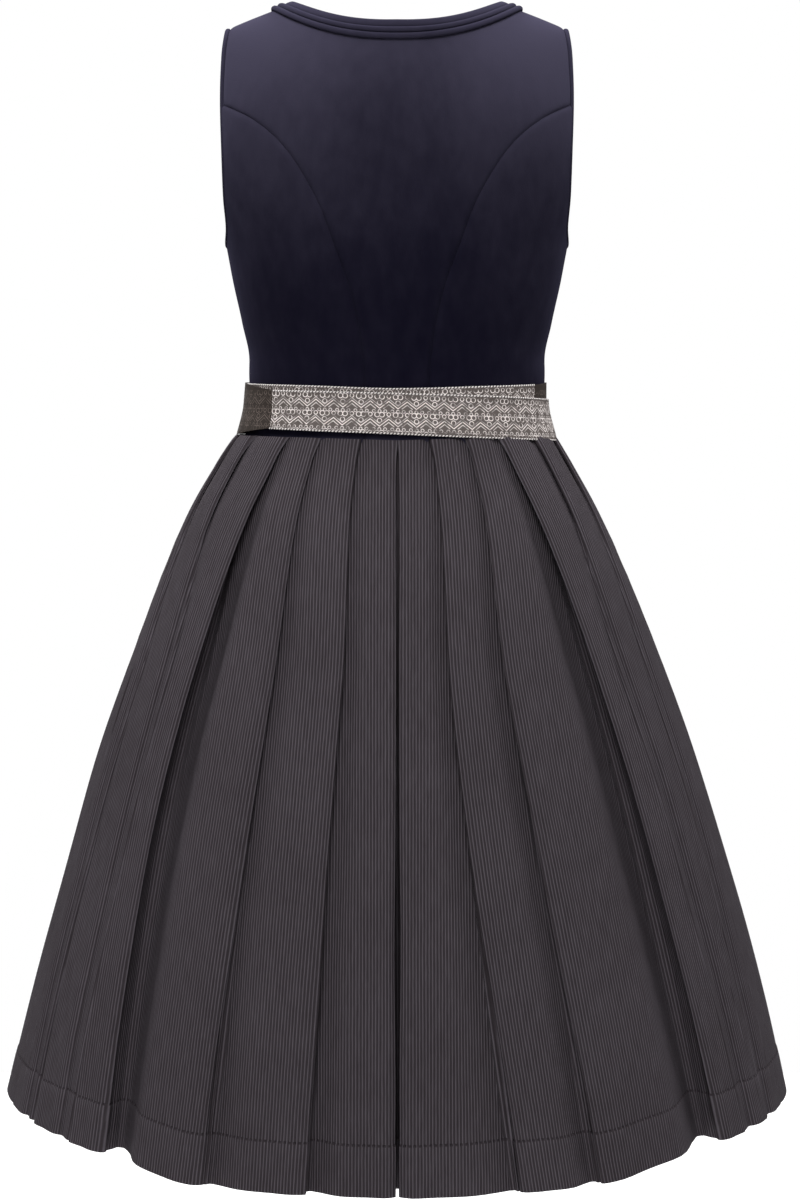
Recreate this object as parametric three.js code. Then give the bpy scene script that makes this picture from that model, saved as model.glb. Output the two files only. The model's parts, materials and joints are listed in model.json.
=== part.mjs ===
import * as THREE from "three";

// A dirndl as it hangs when worn, hollow: a velvet bodice, a ribbed pleated skirt and an apron
// whose waistband and ties go round the waist.
// Millimetres, +Z up. The front faces -Y and the wearer's left is +X.
// The origin lies midway between the shoulders, SHOULDER_H above the waist seam.
// h is the height above the waist seam, down is the depth below it, and an angle is measured
// round the body from the centre back, positive towards the wearer's left.

// Driving dimensions of the cloth
const SHOULDER_H = 372;
const SEAM_GAP = 0.3;
const PULL_BACK = 0.23;
const BODICE_WALL = 2;
const SKIRT_WALL = 1.4;
const BAND_WALL = 1.2;
const SKIRT_LENGTH = 595;
const APRON_LENGTH = 560;

// The form that the bodice is cut to fit, at each height
const TORSO = [
  { at: 0, half: 136, back: 98, front: 94, bust: 0 },
  { at: 34, half: 131, back: 95, front: 95, bust: 0 },
  { at: 70, half: 131, back: 96, front: 99, bust: 2 },
  { at: 106, half: 137.5, back: 99, front: 106, bust: 7 },
  { at: 141, half: 145, back: 103, front: 113, bust: 14 },
  { at: 172, half: 151, back: 105.5, front: 118, bust: 18 },
  { at: 195, half: 156, back: 107, front: 119, bust: 17 },
  { at: 220, half: 162, back: 108, front: 116, bust: 10 },
  { at: 250, half: 165, back: 109, front: 112, bust: 4 },
];
const SECTION_POWER = 2.3;
const BUST_X = 76;
const BUST_SPREAD = 44;
const ROLL_H = 250;
const RIDGE_Y = -5;
const NECK_POINT = { x: 92, h: 387 };
const SHOULDER_FALL = 0.393;

// Neckline, armholes and the curved seams of the bodice
const BACK_NECK_H = 363.5;
const BACK_NECK_POWER = 2.4;
const FRONT_NECK_H = 236;
const FRONT_NECK_POWER = 2.6;
const ARMHOLE = [
  { at: 172, back: 151, front: 151 },
  { at: 188, back: 148.8, front: 144.5 },
  { at: 213, back: 150.3, front: 139 },
  { at: 249, back: 151.3, front: 136 },
  { at: 303, back: 152.8, front: 138.5 },
  { at: 338, back: 151.8, front: 143.5 },
  { at: 368, back: 148.5, front: 148.5 },
];
const BACK_PRINCESS = [
  { at: 0, x: 29 },
  { at: 54, x: 28.5 },
  { at: 96, x: 33 },
  { at: 133, x: 41 },
  { at: 173, x: 55.5 },
  { at: 204, x: 67 },
  { at: 230, x: 81 },
  { at: 257, x: 100 },
  { at: 279, x: 125 },
  { at: 294, x: 152.6 },
];
const FRONT_PRINCESS = [
  { at: 0, x: 38 },
  { at: 50, x: 38 },
  { at: 95, x: 47 },
  { at: 140, x: 63 },
  { at: 185, x: 79 },
  { at: 215, x: 91 },
  { at: 240, x: 108 },
  { at: 262, x: 136.6 },
];

// Trims of the bodice
const PIPING_RADIUS = 2.2;
const NECK_BAND_INSET = 0.4;
const NECK_BAND_WIDTH = 7.6;
const NECK_BAND_WALL = 1.4;
const NECK_CORD = { halfWidth: 2.7, halfHeight: 1.7 };
const NECK_CORD_PLACES = { inner: 11, outer: 17 };
const NECK_STEPS = { back: 10, front: 12 };
const CORD_SIDES = 6;
const PLACKET = { halfWidth: 11, wall: 1.4, bottom: 54, steps: 7 };
const BUTTON = { radius: 6, height: 4, count: 7, lowest: 62, highest: 205, sides: 9 };
// The button's outline, as shares of its radius and its height
const BUTTON_OUTLINE = [
  { out: 0, up: 0 },
  { out: 0.75, up: 0 },
  { out: 1, up: 0.35 },
  { out: 0.7, up: 0.85 },
  { out: 0, up: 1 },
];

// The skirt's outer form and its pleats
const SKIRT = [
  { at: 0, left: 141, right: 138, back: 98, front: 94, power: 2.3 },
  { at: 20, left: 160, right: 155, back: 111, front: 104, power: 2.28 },
  { at: 55, left: 182, right: 176, back: 133, front: 121, power: 2.22 },
  { at: 109, left: 206, right: 201, back: 161, front: 145, power: 2.15 },
  { at: 181, left: 233, right: 230, back: 194, front: 175, power: 2.08 },
  { at: 288, left: 270, right: 269, back: 238, front: 218, power: 2.02 },
  { at: 396, left: 300, right: 300, back: 279, front: 256, power: 2 },
  { at: 503, left: 328, right: 328, back: 315, front: 290, power: 2 },
  { at: 595, left: 348, right: 348, back: 344, front: 316, power: 2 },
];
const SKIRT_LEVELS = [0, 12, 34, 74, 140, 235, 350, 470, 595];
const PLEAT_MIDDLE = 205;
// Each row is one fold edge, placed by its angle from the centre at three depths. The tuck is how
// far the cloth runs on beneath the edge, and the valley is how deep the fold is beside it.
const BACK_LEFT_PLEATS = [
  { waist: 0.6, middle: 0.5, hem: 0.4, tuck: 22, tuckMid: 20, tuckHem: 13, valleyMid: 12, valleyHem: 26 },
  { waist: 18.9, middle: 13.1, hem: 12.5, tuck: 24, tuckMid: 9, tuckHem: 1, valleyMid: 9, valleyHem: 15 },
  { waist: 37.4, middle: 30, hem: 28, tuck: 21, tuckMid: 8, tuckHem: -6, valleyMid: 9, valleyHem: 11 },
  { waist: 51.2, middle: 51.6, hem: 45.6, tuck: 19, tuckMid: 12, tuckHem: 2, valleyMid: 14, valleyHem: 20 },
  { waist: 68, middle: 62, hem: 56, tuck: 10, tuckMid: -12, tuckHem: -24, valleyMid: 4, valleyHem: 4 },
  { waist: 84, middle: 74.5, hem: 68, tuck: 6, tuckMid: -12, tuckHem: -22, valleyMid: 3, valleyHem: 4 },
];
const BACK_RIGHT_PLEATS = [
  { waist: 1.4, middle: 1, hem: 0.8, tuck: 22, tuckMid: 20, tuckHem: 13, valleyMid: 12, valleyHem: 26 },
  { waist: 17.5, middle: 13, hem: 17.2, tuck: 24, tuckMid: 9, tuckHem: -4, valleyMid: 9, valleyHem: 11 },
  { waist: 34, middle: 26.5, hem: 29.3, tuck: 22, tuckMid: 9, tuckHem: -2, valleyMid: 10, valleyHem: 13 },
  { waist: 48.5, middle: 51, hem: 52.5, tuck: 19, tuckMid: 12, tuckHem: 2, valleyMid: 13, valleyHem: 18 },
  { waist: 65, middle: 61.5, hem: 61.5, tuck: 10, tuckMid: -12, tuckHem: -24, valleyMid: 4, valleyHem: 5 },
  { waist: 82, middle: 73, hem: 69, tuck: 6, tuckMid: -12, tuckHem: -22, valleyMid: 3, valleyHem: 4 },
];
// The front pleats are measured from the centre front and are the same on both sides
const FRONT_PLEATS = [
  { waist: 1, middle: 0.8, hem: 1, tuck: 20, tuckMid: 14, tuckHem: 3, valleyMid: 10, valleyHem: 14 },
  { waist: 20, middle: 17, hem: 18, tuck: 20, tuckMid: 6, tuckHem: -8, valleyMid: 9, valleyHem: 11 },
  { waist: 39, middle: 35, hem: 37, tuck: 19, tuckMid: 5, tuckHem: -10, valleyMid: 9, valleyHem: 11 },
  { waist: 57, middle: 53, hem: 57, tuck: 17, tuckMid: 3, tuckHem: -12, valleyMid: 9, valleyHem: 10 },
  { waist: 74, middle: 74, hem: 78, tuck: 14, tuckMid: -5, tuckHem: -14, valleyMid: 8, valleyHem: 9 },
];
const LAYER_PITCH = 2.4;
const FOLD_RADIUS_HEM = 3.4;
const SIDE_SEAM = [
  { at: 0, angle: 92 },
  { at: 205, angle: 84 },
  { at: 595, angle: 75 },
];

// How far the hem hangs higher than at the centres, by the angle from the centre back
const HEM_RISE = [
  { at: 0, rise: 0 },
  { at: 28, rise: 0 },
  { at: 40, rise: 9 },
  { at: 52, rise: 15 },
  { at: 75, rise: 19 },
  { at: 95, rise: 17 },
  { at: 130, rise: 7 },
  { at: 180, rise: 0 },
];

// The apron, its waistband and its ties. Angles run on through the front past 180 degrees
const APRON_SPREAD = [
  { at: 0, angle: 56 },
  { at: 180, angle: 48 },
  { at: 595, angle: 42 },
];
const APRON_TOP_H = 5.7;
const APRON_CLEAR = 0.7;
const APRON_WAVES = 7;
const APRON_WAVE_WAIST = 1.2;
const APRON_WAVE_HEM = 9;
const LAYER_GAP = 0.75;
const UNDER_OUT = LAYER_GAP;
const OVER_OUT = UNDER_OUT + BAND_WALL + LAYER_GAP;
const KNOT_OUT = OVER_OUT + BAND_WALL + LAYER_GAP;
const BAND_STEP = 7.5;
// The waistband runs from the left tie seam round the front to the right tie seam
const WAISTBAND = [
  { at: 61, bottom: 12.8, top: 47, out: OVER_OUT, flare: 0.6 },
  { at: 90, bottom: 6, top: 53, out: OVER_OUT, flare: 4 },
  { at: 112, bottom: 6, top: 53, out: OVER_OUT, flare: 0 },
  { at: 150, bottom: 6, top: 53, out: OVER_OUT, flare: 0 },
  { at: 176, bottom: 6, top: 53, out: UNDER_OUT, flare: 0 },
  { at: 270, bottom: 6, top: 53, out: UNDER_OUT, flare: 0 },
  { at: 291.6, bottom: 9, top: 51, out: UNDER_OUT, flare: 0 },
];
// The over tie runs from the left seam across the back, round the right side and to the knot
const TIE_OVER = [
  { at: -212, bottom: 13, top: 45, out: KNOT_OUT, flare: 0 },
  { at: -184, bottom: 9, top: 43.5, out: OVER_OUT, flare: 0 },
  { at: -122, bottom: 6.6, top: 42, out: OVER_OUT, flare: 0 },
  { at: -90, bottom: 1, top: 37.5, out: OVER_OUT, flare: 3 },
  { at: -45, bottom: 5, top: 41, out: OVER_OUT, flare: 0 },
  { at: 0, bottom: 8.9, top: 43.6, out: OVER_OUT, flare: 0 },
  { at: 60.8, bottom: 12.8, top: 46, out: OVER_OUT, flare: 0.6 },
];
// The under tie runs from the right seam across the back and behind the waistband
const TIE_UNDER = [
  { at: -68.2, bottom: 13, top: 50.7, out: UNDER_OUT, flare: 0 },
  { at: -45, bottom: 14.5, top: 49.5, out: UNDER_OUT, flare: 0 },
  { at: 0, bottom: 13, top: 47.6, out: UNDER_OUT, flare: 0 },
  { at: 45, bottom: 15, top: 50, out: UNDER_OUT, flare: 0 },
  { at: 90, bottom: 17, top: 51.5, out: UNDER_OUT, flare: 0 },
  { at: 132, bottom: 15, top: 49, out: UNDER_OUT, flare: 0 },
];
const BOW_ANGLE = 148;
const BOW_H = 33;
const KNOT = { halfWidth: 13, halfHeight: 17, halfDepth: 7, out: KNOT_OUT + BAND_WALL - 0.1 };
const BOW_LOOP = [
  { along: 13.6, out: 6.2, half: 10 },
  { along: 34, out: 7, half: 17 },
  { along: 54, out: 9.5, half: 20 },
  { along: 64, out: 14, half: 20.5 },
  { along: 56, out: 19, half: 20 },
  { along: 34, out: 20, half: 17 },
  { along: 13.6, out: 14.5, half: 10 },
];
const BOW_DROOP = 0.14;
const TIE_ENDS = [
  { name: "tie_end_left", side: -1, spread: 4.5, far: 9, out: 4.2, length: 285 },
  { name: "tie_end_right", side: 1, spread: 4.5, far: 11, out: 7.2, length: 250 },
];
const TIE_END_HALF = 18;

// Cloths, by colour, roughness and metalness
const VELVET = { color: 0x1b1929, roughness: 0.95, metalness: 0 };
const RIBBED = { color: 0x3a353b, roughness: 0.85, metalness: 0 };
const SILVER_JACQUARD = { color: 0x9a918f, roughness: 0.55, metalness: 0.1 };
const TAUPE_JACQUARD = { color: 0x51473f, roughness: 0.7, metalness: 0 };
const APRON_CLOTH = { color: 0x5a514c, roughness: 0.6, metalness: 0 };
const BUTTON_METAL = { color: 0x8d8a86, roughness: 0.35, metalness: 0.9 };

const QUARTER = Math.PI / 2;
const garment = new THREE.Group();

// Small sums used everywhere

function radians(degrees) {
  return (degrees * Math.PI) / 180;
}

function mix(a, b, t) {
  return a + (b - a) * t;
}

function limit(value, low, high) {
  return Math.min(Math.max(value, low), high);
}

// The value of a named column where the table's at column has a given value, on a smooth curve
// that never swings past its rows
function column(table, name, at) {
  const last = table.length - 1;
  if (at <= table[0].at) return table[0][name];
  if (at >= table[last].at) return table[last][name];
  let k = 0;
  while (at > table[k + 1].at) k += 1;
  const rise = (i) => (table[i + 1][name] - table[i][name]) / (table[i + 1].at - table[i].at);
  const slope = (i) => {
    if (i === 0) return rise(0);
    if (i === last) return rise(last - 1);
    const before = rise(i - 1);
    const after = rise(i);
    return before * after > 0 ? (2 * before * after) / (before + after) : 0;
  };
  const step = table[k + 1].at - table[k].at;
  const t = (at - table[k].at) / step;
  const t2 = t * t;
  const t3 = t2 * t;
  return (
    (2 * t3 - 3 * t2 + 1) * table[k][name] +
    (t3 - 2 * t2 + t) * step * slope(k) +
    (3 * t2 - 2 * t3) * table[k + 1][name] +
    (t3 - t2) * step * slope(k + 1)
  );
}

// The three depths of a pleat's column, on one curve
function alongPleat(waist, middle, hem, down) {
  const rows = [
    { at: 0, value: waist },
    { at: PLEAT_MIDDLE, value: middle },
    { at: SKIRT_LENGTH, value: hem },
  ];
  return column(rows, "value", down);
}

// Distance from the axis to an oval whose width and depth are given
function ovalRadius(angle, half, depth, power) {
  const across = Math.abs(Math.sin(angle) / half) ** power;
  const deep = Math.abs(Math.cos(angle) / depth) ** power;
  return (across + deep) ** (-1 / power);
}

// The bodice form. A place on it is an angle and a level: level 0 is the waist seam, level 1 is
// ROLL_H above it, and level 2 is the shoulder ridge, where the form has rolled over forwards.

function torsoRadius(angle, h) {
  const facing = Math.cos(angle);
  const depth = column(TORSO, facing > 0 ? "back" : "front", h);
  const radius = ovalRadius(angle, column(TORSO, "half", h), depth, SECTION_POWER);
  if (facing > 0) return radius;
  const aside = (Math.abs(radius * Math.sin(angle)) - BUST_X) / BUST_SPREAD;
  return radius - facing * column(TORSO, "bust", h) * Math.exp(-aside * aside);
}

function ridgeHeight(x) {
  return NECK_POINT.h - (Math.abs(x) - NECK_POINT.x) * SHOULDER_FALL;
}

function torsoSkin(place) {
  const h = Math.min(place.level, 1) * ROLL_H;
  const radius = torsoRadius(place.angle, h);
  const x = radius * Math.sin(place.angle);
  const y = radius * Math.cos(place.angle);
  if (place.level <= 1) return new THREE.Vector3(x, y, h);
  const roll = (place.level - 1) * QUARTER;
  const rolledY = RIDGE_Y + (y - RIDGE_Y) * Math.cos(roll);
  const rolledH = ROLL_H + (ridgeHeight(x) - ROLL_H) * Math.sin(roll);
  return new THREE.Vector3(x, rolledY, rolledH);
}

function tangents(place) {
  const tiny = 0.002;
  const turned = { angle: place.angle + tiny, level: place.level };
  const unturned = { angle: place.angle - tiny, level: place.level };
  const above = { angle: place.angle, level: place.level + tiny };
  const below = { angle: place.angle, level: place.level - tiny };
  return {
    round: torsoSkin(turned).sub(torsoSkin(unturned)).divideScalar(2 * tiny),
    up: torsoSkin(above).sub(torsoSkin(below)).divideScalar(2 * tiny),
  };
}

function torsoNormal(place) {
  const { round, up } = tangents(place);
  return up.cross(round).normalize();
}

// A point off the form by a distance, in the garment's own frame
function torsoPoint(place, out = 0) {
  const point = torsoSkin(place).addScaledVector(torsoNormal(place), out);
  point.z -= SHOULDER_H;
  return point;
}

// The place on the form at a half-width x and a height h, on the wearer's left
function placeAt(x, h, front) {
  const side = front ? Math.PI : 0;
  const measured = Math.min(h, ROLL_H);
  let near = side;
  let far = QUARTER;
  for (let i = 0; i < 40; i += 1) {
    const middle = (near + far) / 2;
    if (torsoRadius(middle, measured) * Math.sin(middle) < x) near = middle;
    else far = middle;
  }
  const angle = (near + far) / 2;
  if (h <= ROLL_H) return { angle, level: h / ROLL_H };
  const rise = limit((h - ROLL_H) / (ridgeHeight(x) - ROLL_H), 0, 1);
  return { angle, level: 1 + Math.asin(rise) / QUARTER };
}

// The place reached from another by a small move along the form
function slide(place, move) {
  const { round, up } = tangents(place);
  const rr = round.dot(round);
  const ru = round.dot(up);
  const uu = up.dot(up);
  const mr = move.dot(round);
  const mu = move.dot(up);
  const det = rr * uu - ru * ru;
  return {
    angle: place.angle + (mr * uu - mu * ru) / det,
    level: Math.min(place.level + (mu * rr - mr * ru) / det, 2),
  };
}

// A run of places moved sideways along the form, a little at a time
function besideRun(places, distance, closed = false) {
  const steps = Math.max(1, Math.ceil(Math.abs(distance) / 3));
  const count = places.length;
  let run = places;
  for (let s = 0; s < steps; s += 1) {
    const points = run.map((place) => torsoSkin(place));
    run = run.map((place, i) => {
      const ahead = closed ? (i + 1) % count : Math.min(i + 1, count - 1);
      const behind = closed ? (i + count - 1) % count : Math.max(i - 1, 0);
      const along = points[ahead].clone().sub(points[behind]).normalize();
      const across = torsoNormal(place).cross(along).normalize();
      return slide(place, across.multiplyScalar(distance / steps));
    });
  }
  return run;
}

// Closed solids

// A wall of cloth: faces on its outer and inner points, closed along every free edge
class Wall {
  constructor() {
    this.outer = [];
    this.inner = [];
    this.quads = [];
    this.known = new Map();
  }

  vertex(outer, inner) {
    const key = outer.toArray().map((v) => Math.round(v * 1e3)).join();
    if (!this.known.has(key)) {
      this.known.set(key, this.outer.length);
      this.outer.push(outer);
      this.inner.push(inner);
    }
    return this.known.get(key);
  }

  // Rows of {outer, inner} points, with the same number in each
  addGrid(rows) {
    const ids = rows.map((row) => row.map((p) => this.vertex(p.outer, p.inner)));
    const found = [];
    let facing = 0;
    for (let i = 0; i + 1 < ids.length; i += 1) {
      for (let j = 0; j + 1 < ids[i].length; j += 1) {
        const quad = [ids[i][j], ids[i][j + 1], ids[i + 1][j + 1], ids[i + 1][j]];
        const [a, b, , d] = quad.map((id) => this.outer[id]);
        const side = b.clone().sub(a).cross(d.clone().sub(a));
        facing += side.dot(a.clone().sub(this.inner[quad[0]]));
        found.push(quad);
      }
    }
    for (const quad of found) this.quads.push(facing > 0 ? quad : quad.reverse());
  }

  solid() {
    const count = this.outer.length;
    const index = [];
    const edges = new Map();
    for (const quad of this.quads) {
      const ring = quad.filter((id, k) => id !== quad[(k + 1) % 4]);
      for (let k = 1; k + 1 < ring.length; k += 1) {
        index.push(ring[0], ring[k], ring[k + 1]);
        index.push(ring[0] + count, ring[k + 1] + count, ring[k] + count);
      }
      ring.forEach((id, k) => {
        const next = ring[(k + 1) % ring.length];
        edges.set(`${id},${next}`, [id, next]);
      });
    }
    for (const [a, b] of edges.values()) {
      if (edges.has(`${b},${a}`)) continue;
      index.push(b, a, a + count);
      index.push(b, a + count, b + count);
    }
    return indexed([...this.outer, ...this.inner], index);
  }
}

function indexed(points, index) {
  const geometry = new THREE.BufferGeometry();
  const numbers = points.flatMap((point) => point.toArray());
  geometry.setAttribute("position", new THREE.Float32BufferAttribute(numbers, 3));
  geometry.setIndex(index);
  geometry.computeVertexNormals();
  return geometry;
}

// A solid from closed rings of points in order, with flat ends, or joined end to end
function ringSolid(rings, closed = false) {
  const sides = rings[0].length;
  const spans = closed ? rings.length : rings.length - 1;
  const points = rings.flat();
  const index = [];
  for (let i = 0; i < spans; i += 1) {
    const here = i * sides;
    const next = ((i + 1) % rings.length) * sides;
    for (let k = 0; k < sides; k += 1) {
      const l = (k + 1) % sides;
      index.push(here + k, here + l, next + l);
      index.push(here + k, next + l, next + k);
    }
  }
  if (!closed) {
    const end = (rings.length - 1) * sides;
    for (let k = 1; k + 1 < sides; k += 1) {
      index.push(0, k + 1, k);
      index.push(end, end + k, end + k + 1);
    }
  }
  return outwards(indexed(points, index));
}

// Turns a closed solid's faces to point out of it
function outwards(geometry) {
  const at = geometry.getAttribute("position");
  const index = [...geometry.getIndex().array];
  const corner = (i) => new THREE.Vector3().fromBufferAttribute(at, index[i]);
  let volume = 0;
  for (let i = 0; i < index.length; i += 3) {
    volume += corner(i).dot(corner(i + 1).cross(corner(i + 2)));
  }
  if (volume < 0) index.reverse();
  geometry.setIndex(index);
  geometry.computeVertexNormals();
  return geometry;
}

function add(name, geometry, cloth) {
  const mesh = new THREE.Mesh(geometry, new THREE.MeshStandardMaterial(cloth));
  mesh.name = name;
  garment.add(mesh);
}

function mirrored(point, side) {
  return new THREE.Vector3(point.x * side, point.y, point.z);
}

// Panels of the bodice

// A curve of places, with its points spread evenly along its length
function evenly(curve) {
  const samples = 80;
  const lengths = [0];
  let before = torsoSkin(curve(0));
  for (let i = 1; i <= samples; i += 1) {
    const point = torsoSkin(curve(i / samples));
    lengths.push(lengths[i - 1] + point.distanceTo(before));
    before = point;
  }
  return (t) => {
    const wanted = t * lengths[samples];
    let i = 1;
    while (i < samples && lengths[i] < wanted) i += 1;
    const share = (wanted - lengths[i - 1]) / (lengths[i] - lengths[i - 1] || 1);
    return curve((i - 1 + share) / samples);
  };
}

// One curve after another, the first up to the share `turn` of the way
function chain(first, second, turn) {
  return (t) => (t <= turn ? first(t / turn) : second((t - turn) / (1 - turn)));
}

const backNeck = evenly((t) => {
  const x = NECK_POINT.x * t;
  return placeAt(x, BACK_NECK_H + (NECK_POINT.h - BACK_NECK_H) * t ** BACK_NECK_POWER, false);
});

const frontNeckUp = evenly((t) => {
  const drop = Math.cos(t * QUARTER) ** (2 / FRONT_NECK_POWER);
  const x = NECK_POINT.x * Math.sin(t * QUARTER) ** (2 / FRONT_NECK_POWER);
  return placeAt(x, NECK_POINT.h - (NECK_POINT.h - FRONT_NECK_H) * drop, true);
});

function princess(table, front) {
  const top = table[table.length - 1].at;
  return evenly((t) => placeAt(column(table, "x", top * t), top * t, front));
}

// The armhole between two heights, going up
function armhole(from, to, front) {
  return evenly((t) => {
    const h = mix(from, to, t);
    return placeAt(column(ARMHOLE, front ? "front" : "back", h), h, front);
  });
}

function line(angleFrom, levelFrom, angleTo, levelTo) {
  return (t) => ({ angle: mix(angleFrom, angleTo, t), level: mix(levelFrom, levelTo, t) });
}

// Places in a patch between four curves, pulled back along the seams
function patch(shape) {
  const { inner, outer, rows, cols, centred } = shape;
  const corner = { a: inner(0), b: outer(0), c: inner(1), d: outer(1) };
  const bottom = shape.bottom || line(corner.a.angle, corner.a.level, corner.b.angle, corner.b.level);
  const top = shape.top || line(corner.c.angle, corner.c.level, corner.d.angle, corner.d.level);
  const blend = (u, v, name) =>
    mix(inner(v)[name], outer(v)[name], u) +
    mix(bottom(u)[name], top(u)[name], v) -
    mix(mix(corner.a[name], corner.b[name], u), mix(corner.c[name], corner.d[name], u), v);
  const grid = [];
  for (let i = 0; i <= rows; i += 1) {
    grid.push([]);
    for (let j = 0; j <= cols; j += 1) {
      const [u, v] = [j / cols, i / rows];
      grid[i].push({ angle: blend(u, v, "angle"), level: blend(u, v, "level") });
    }
  }
  return pulledBack(grid, centred);
}

// Moves the border places of a grid in by half a seam gap, apart from a shared centre line
function pulledBack(grid, centred = () => false) {
  const rows = grid.length - 1;
  const cols = grid[0].length - 1;
  const points = grid.map((row) => row.map((place) => torsoSkin(place)));
  const inwards = (i, j, nearI, nearJ, before, after) => {
    const edge = after.clone().sub(before).normalize();
    const away = points[nearI][nearJ].clone().sub(points[i][j]);
    return away.addScaledVector(edge, -away.dot(edge)).setLength(PULL_BACK);
  };
  return grid.map((row, i) =>
    row.map((place, j) => {
      const move = new THREE.Vector3();
      if ((j === 0 && !centred(i)) || j === cols) {
        const [before, after] = [points[Math.max(i - 1, 0)][j], points[Math.min(i + 1, rows)][j]];
        move.add(inwards(i, j, i, j === 0 ? 1 : cols - 1, before, after));
      }
      if (i === 0 || i === rows) {
        const [before, after] = [points[i][Math.max(j - 1, 0)], points[i][Math.min(j + 1, cols)]];
        move.add(inwards(i, j, i === 0 ? 1 : rows - 1, j, before, after));
      }
      return move.lengthSq() > 0 ? slide(place, move) : place;
    }),
  );
}

function layGrid(wall, grid, side, out, thick) {
  wall.addGrid(
    grid.map((row) =>
      row.map((place) => ({
        outer: mirrored(torsoPoint(place, out + thick), side),
        inner: mirrored(torsoPoint(place, out), side),
      })),
    ),
  );
}

const BACK_GRID = { rows: 16, neckRow: 10, seamRows: 11 };
const FRONT_GRID = { rows: 17, neckRow: 8, seamRows: 12 };
const BACK_PRINCESS_H = BACK_PRINCESS[BACK_PRINCESS.length - 1].at;
const FRONT_PRINCESS_H = FRONT_PRINCESS[FRONT_PRINCESS.length - 1].at;
const ARMHOLE_LOW = ARMHOLE[0].at;
const ARMHOLE_TOP = ARMHOLE[ARMHOLE.length - 1].at;
const backSeam = princess(BACK_PRINCESS, false);
const frontSeam = princess(FRONT_PRINCESS, true);

function addBack() {
  const centre = line(0, 0, 0, backNeck(0).level);
  const edge = armhole(BACK_PRINCESS_H, ARMHOLE_TOP, false);
  const half = patch({
    inner: chain(centre, backNeck, BACK_GRID.neckRow / BACK_GRID.rows),
    outer: chain(backSeam, edge, BACK_GRID.seamRows / BACK_GRID.rows),
    rows: BACK_GRID.rows,
    cols: 5,
    centred: (i) => i <= BACK_GRID.neckRow,
  });
  const wall = new Wall();
  for (const side of [1, -1]) layGrid(wall, half, side, -BODICE_WALL, BODICE_WALL);
  add("back", wall.solid(), VELVET);
}

function addSidePanel(name, side, seam, seamTop, seamRows, front) {
  const edge = armhole(ARMHOLE_LOW, seamTop, front);
  const wall = new Wall();
  const grid = patch({
    inner: seam,
    outer: line(QUARTER, 0, QUARTER, ARMHOLE_LOW / ROLL_H),
    top: (u) => edge(1 - u),
    rows: seamRows,
    cols: 5,
  });
  layGrid(wall, grid, side, -BODICE_WALL, BODICE_WALL);
  add(name, wall.solid(), VELVET);
}

function addFront(name, side) {
  const centre = line(Math.PI, 0, Math.PI, FRONT_NECK_H / ROLL_H);
  const edge = armhole(FRONT_PRINCESS_H, ARMHOLE_TOP, true);
  const wall = new Wall();
  const grid = patch({
    inner: chain(centre, frontNeckUp, FRONT_GRID.neckRow / FRONT_GRID.rows),
    outer: chain(frontSeam, edge, FRONT_GRID.seamRows / FRONT_GRID.rows),
    rows: FRONT_GRID.rows,
    cols: 5,
  });
  layGrid(wall, grid, side, -BODICE_WALL, BODICE_WALL);
  add(name, wall.solid(), VELVET);
}

function addBodice() {
  addBack();
  for (const [word, side] of [["left", 1], ["right", -1]]) {
    addSidePanel(`side_back_${word}`, side, backSeam, BACK_PRINCESS_H, BACK_GRID.seamRows, false);
    addSidePanel(`side_front_${word}`, side, frontSeam, FRONT_PRINCESS_H, FRONT_GRID.seamRows, true);
    addFront(`front_${word}`, side);
  }
}

// Band and cords round the neckline, piping round the armholes, and the closure

// The neckline from the left front edge over the shoulders to the right front edge
function neckRun(inset) {
  const half = [];
  const { back, front } = NECK_STEPS;
  for (let i = 0; i <= back; i += 1) half.push(backNeck(i / back));
  for (let i = 1; i <= front; i += 1) half.push(frontNeckUp(1 - i / front));
  const whole = [...half.slice(1).reverse(), ...half.map((p) => ({ angle: -p.angle, level: p.level }))];
  whole[half.length - 1] = { angle: 0, level: half[0].level };
  return besideRun(whole, -inset);
}

// Ends a run round the neckline at the centre front, half a seam from it
function trimmedToCentre(points) {
  points[0].x = Math.max(points[0].x, SEAM_GAP);
  points[points.length - 1].x = Math.min(points[points.length - 1].x, -SEAM_GAP);
  return points;
}

function addNeckBand() {
  const edges = [NECK_BAND_INSET, NECK_BAND_WIDTH].map((inset) => neckRun(inset));
  const wall = new Wall();
  wall.addGrid(
    edges.map((run) => {
      const outer = trimmedToCentre(run.map((place) => torsoPoint(place, LAYER_GAP + NECK_BAND_WALL)));
      const inner = trimmedToCentre(run.map((place) => torsoPoint(place, LAYER_GAP)));
      return outer.map((point, i) => ({ outer: point, inner: inner[i] }));
    }),
  );
  add("neck_band", wall.solid(), VELVET);
}

// Rings of points of a cord along a run of places on the form, oval in section
function cordRings(run, halfWidth, halfHeight, lift, closed) {
  const points = run.map((place) => torsoPoint(place, lift));
  const count = points.length;
  return points.map((point, i) => {
    const ahead = closed ? (i + 1) % count : Math.min(i + 1, count - 1);
    const behind = closed ? (i + count - 1) % count : Math.max(i - 1, 0);
    const along = points[ahead].clone().sub(points[behind]).normalize();
    const up = torsoNormal(run[i]);
    const across = up.clone().cross(along).normalize();
    const ring = [];
    for (let k = 0; k < CORD_SIDES; k += 1) {
      const turn = ((k + 0.5) / CORD_SIDES) * 4 * QUARTER;
      ring.push(
        point
          .clone()
          .addScaledVector(across, halfWidth * Math.cos(turn))
          .addScaledVector(up, halfHeight * Math.sin(turn)),
      );
    }
    return ring;
  });
}

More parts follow.
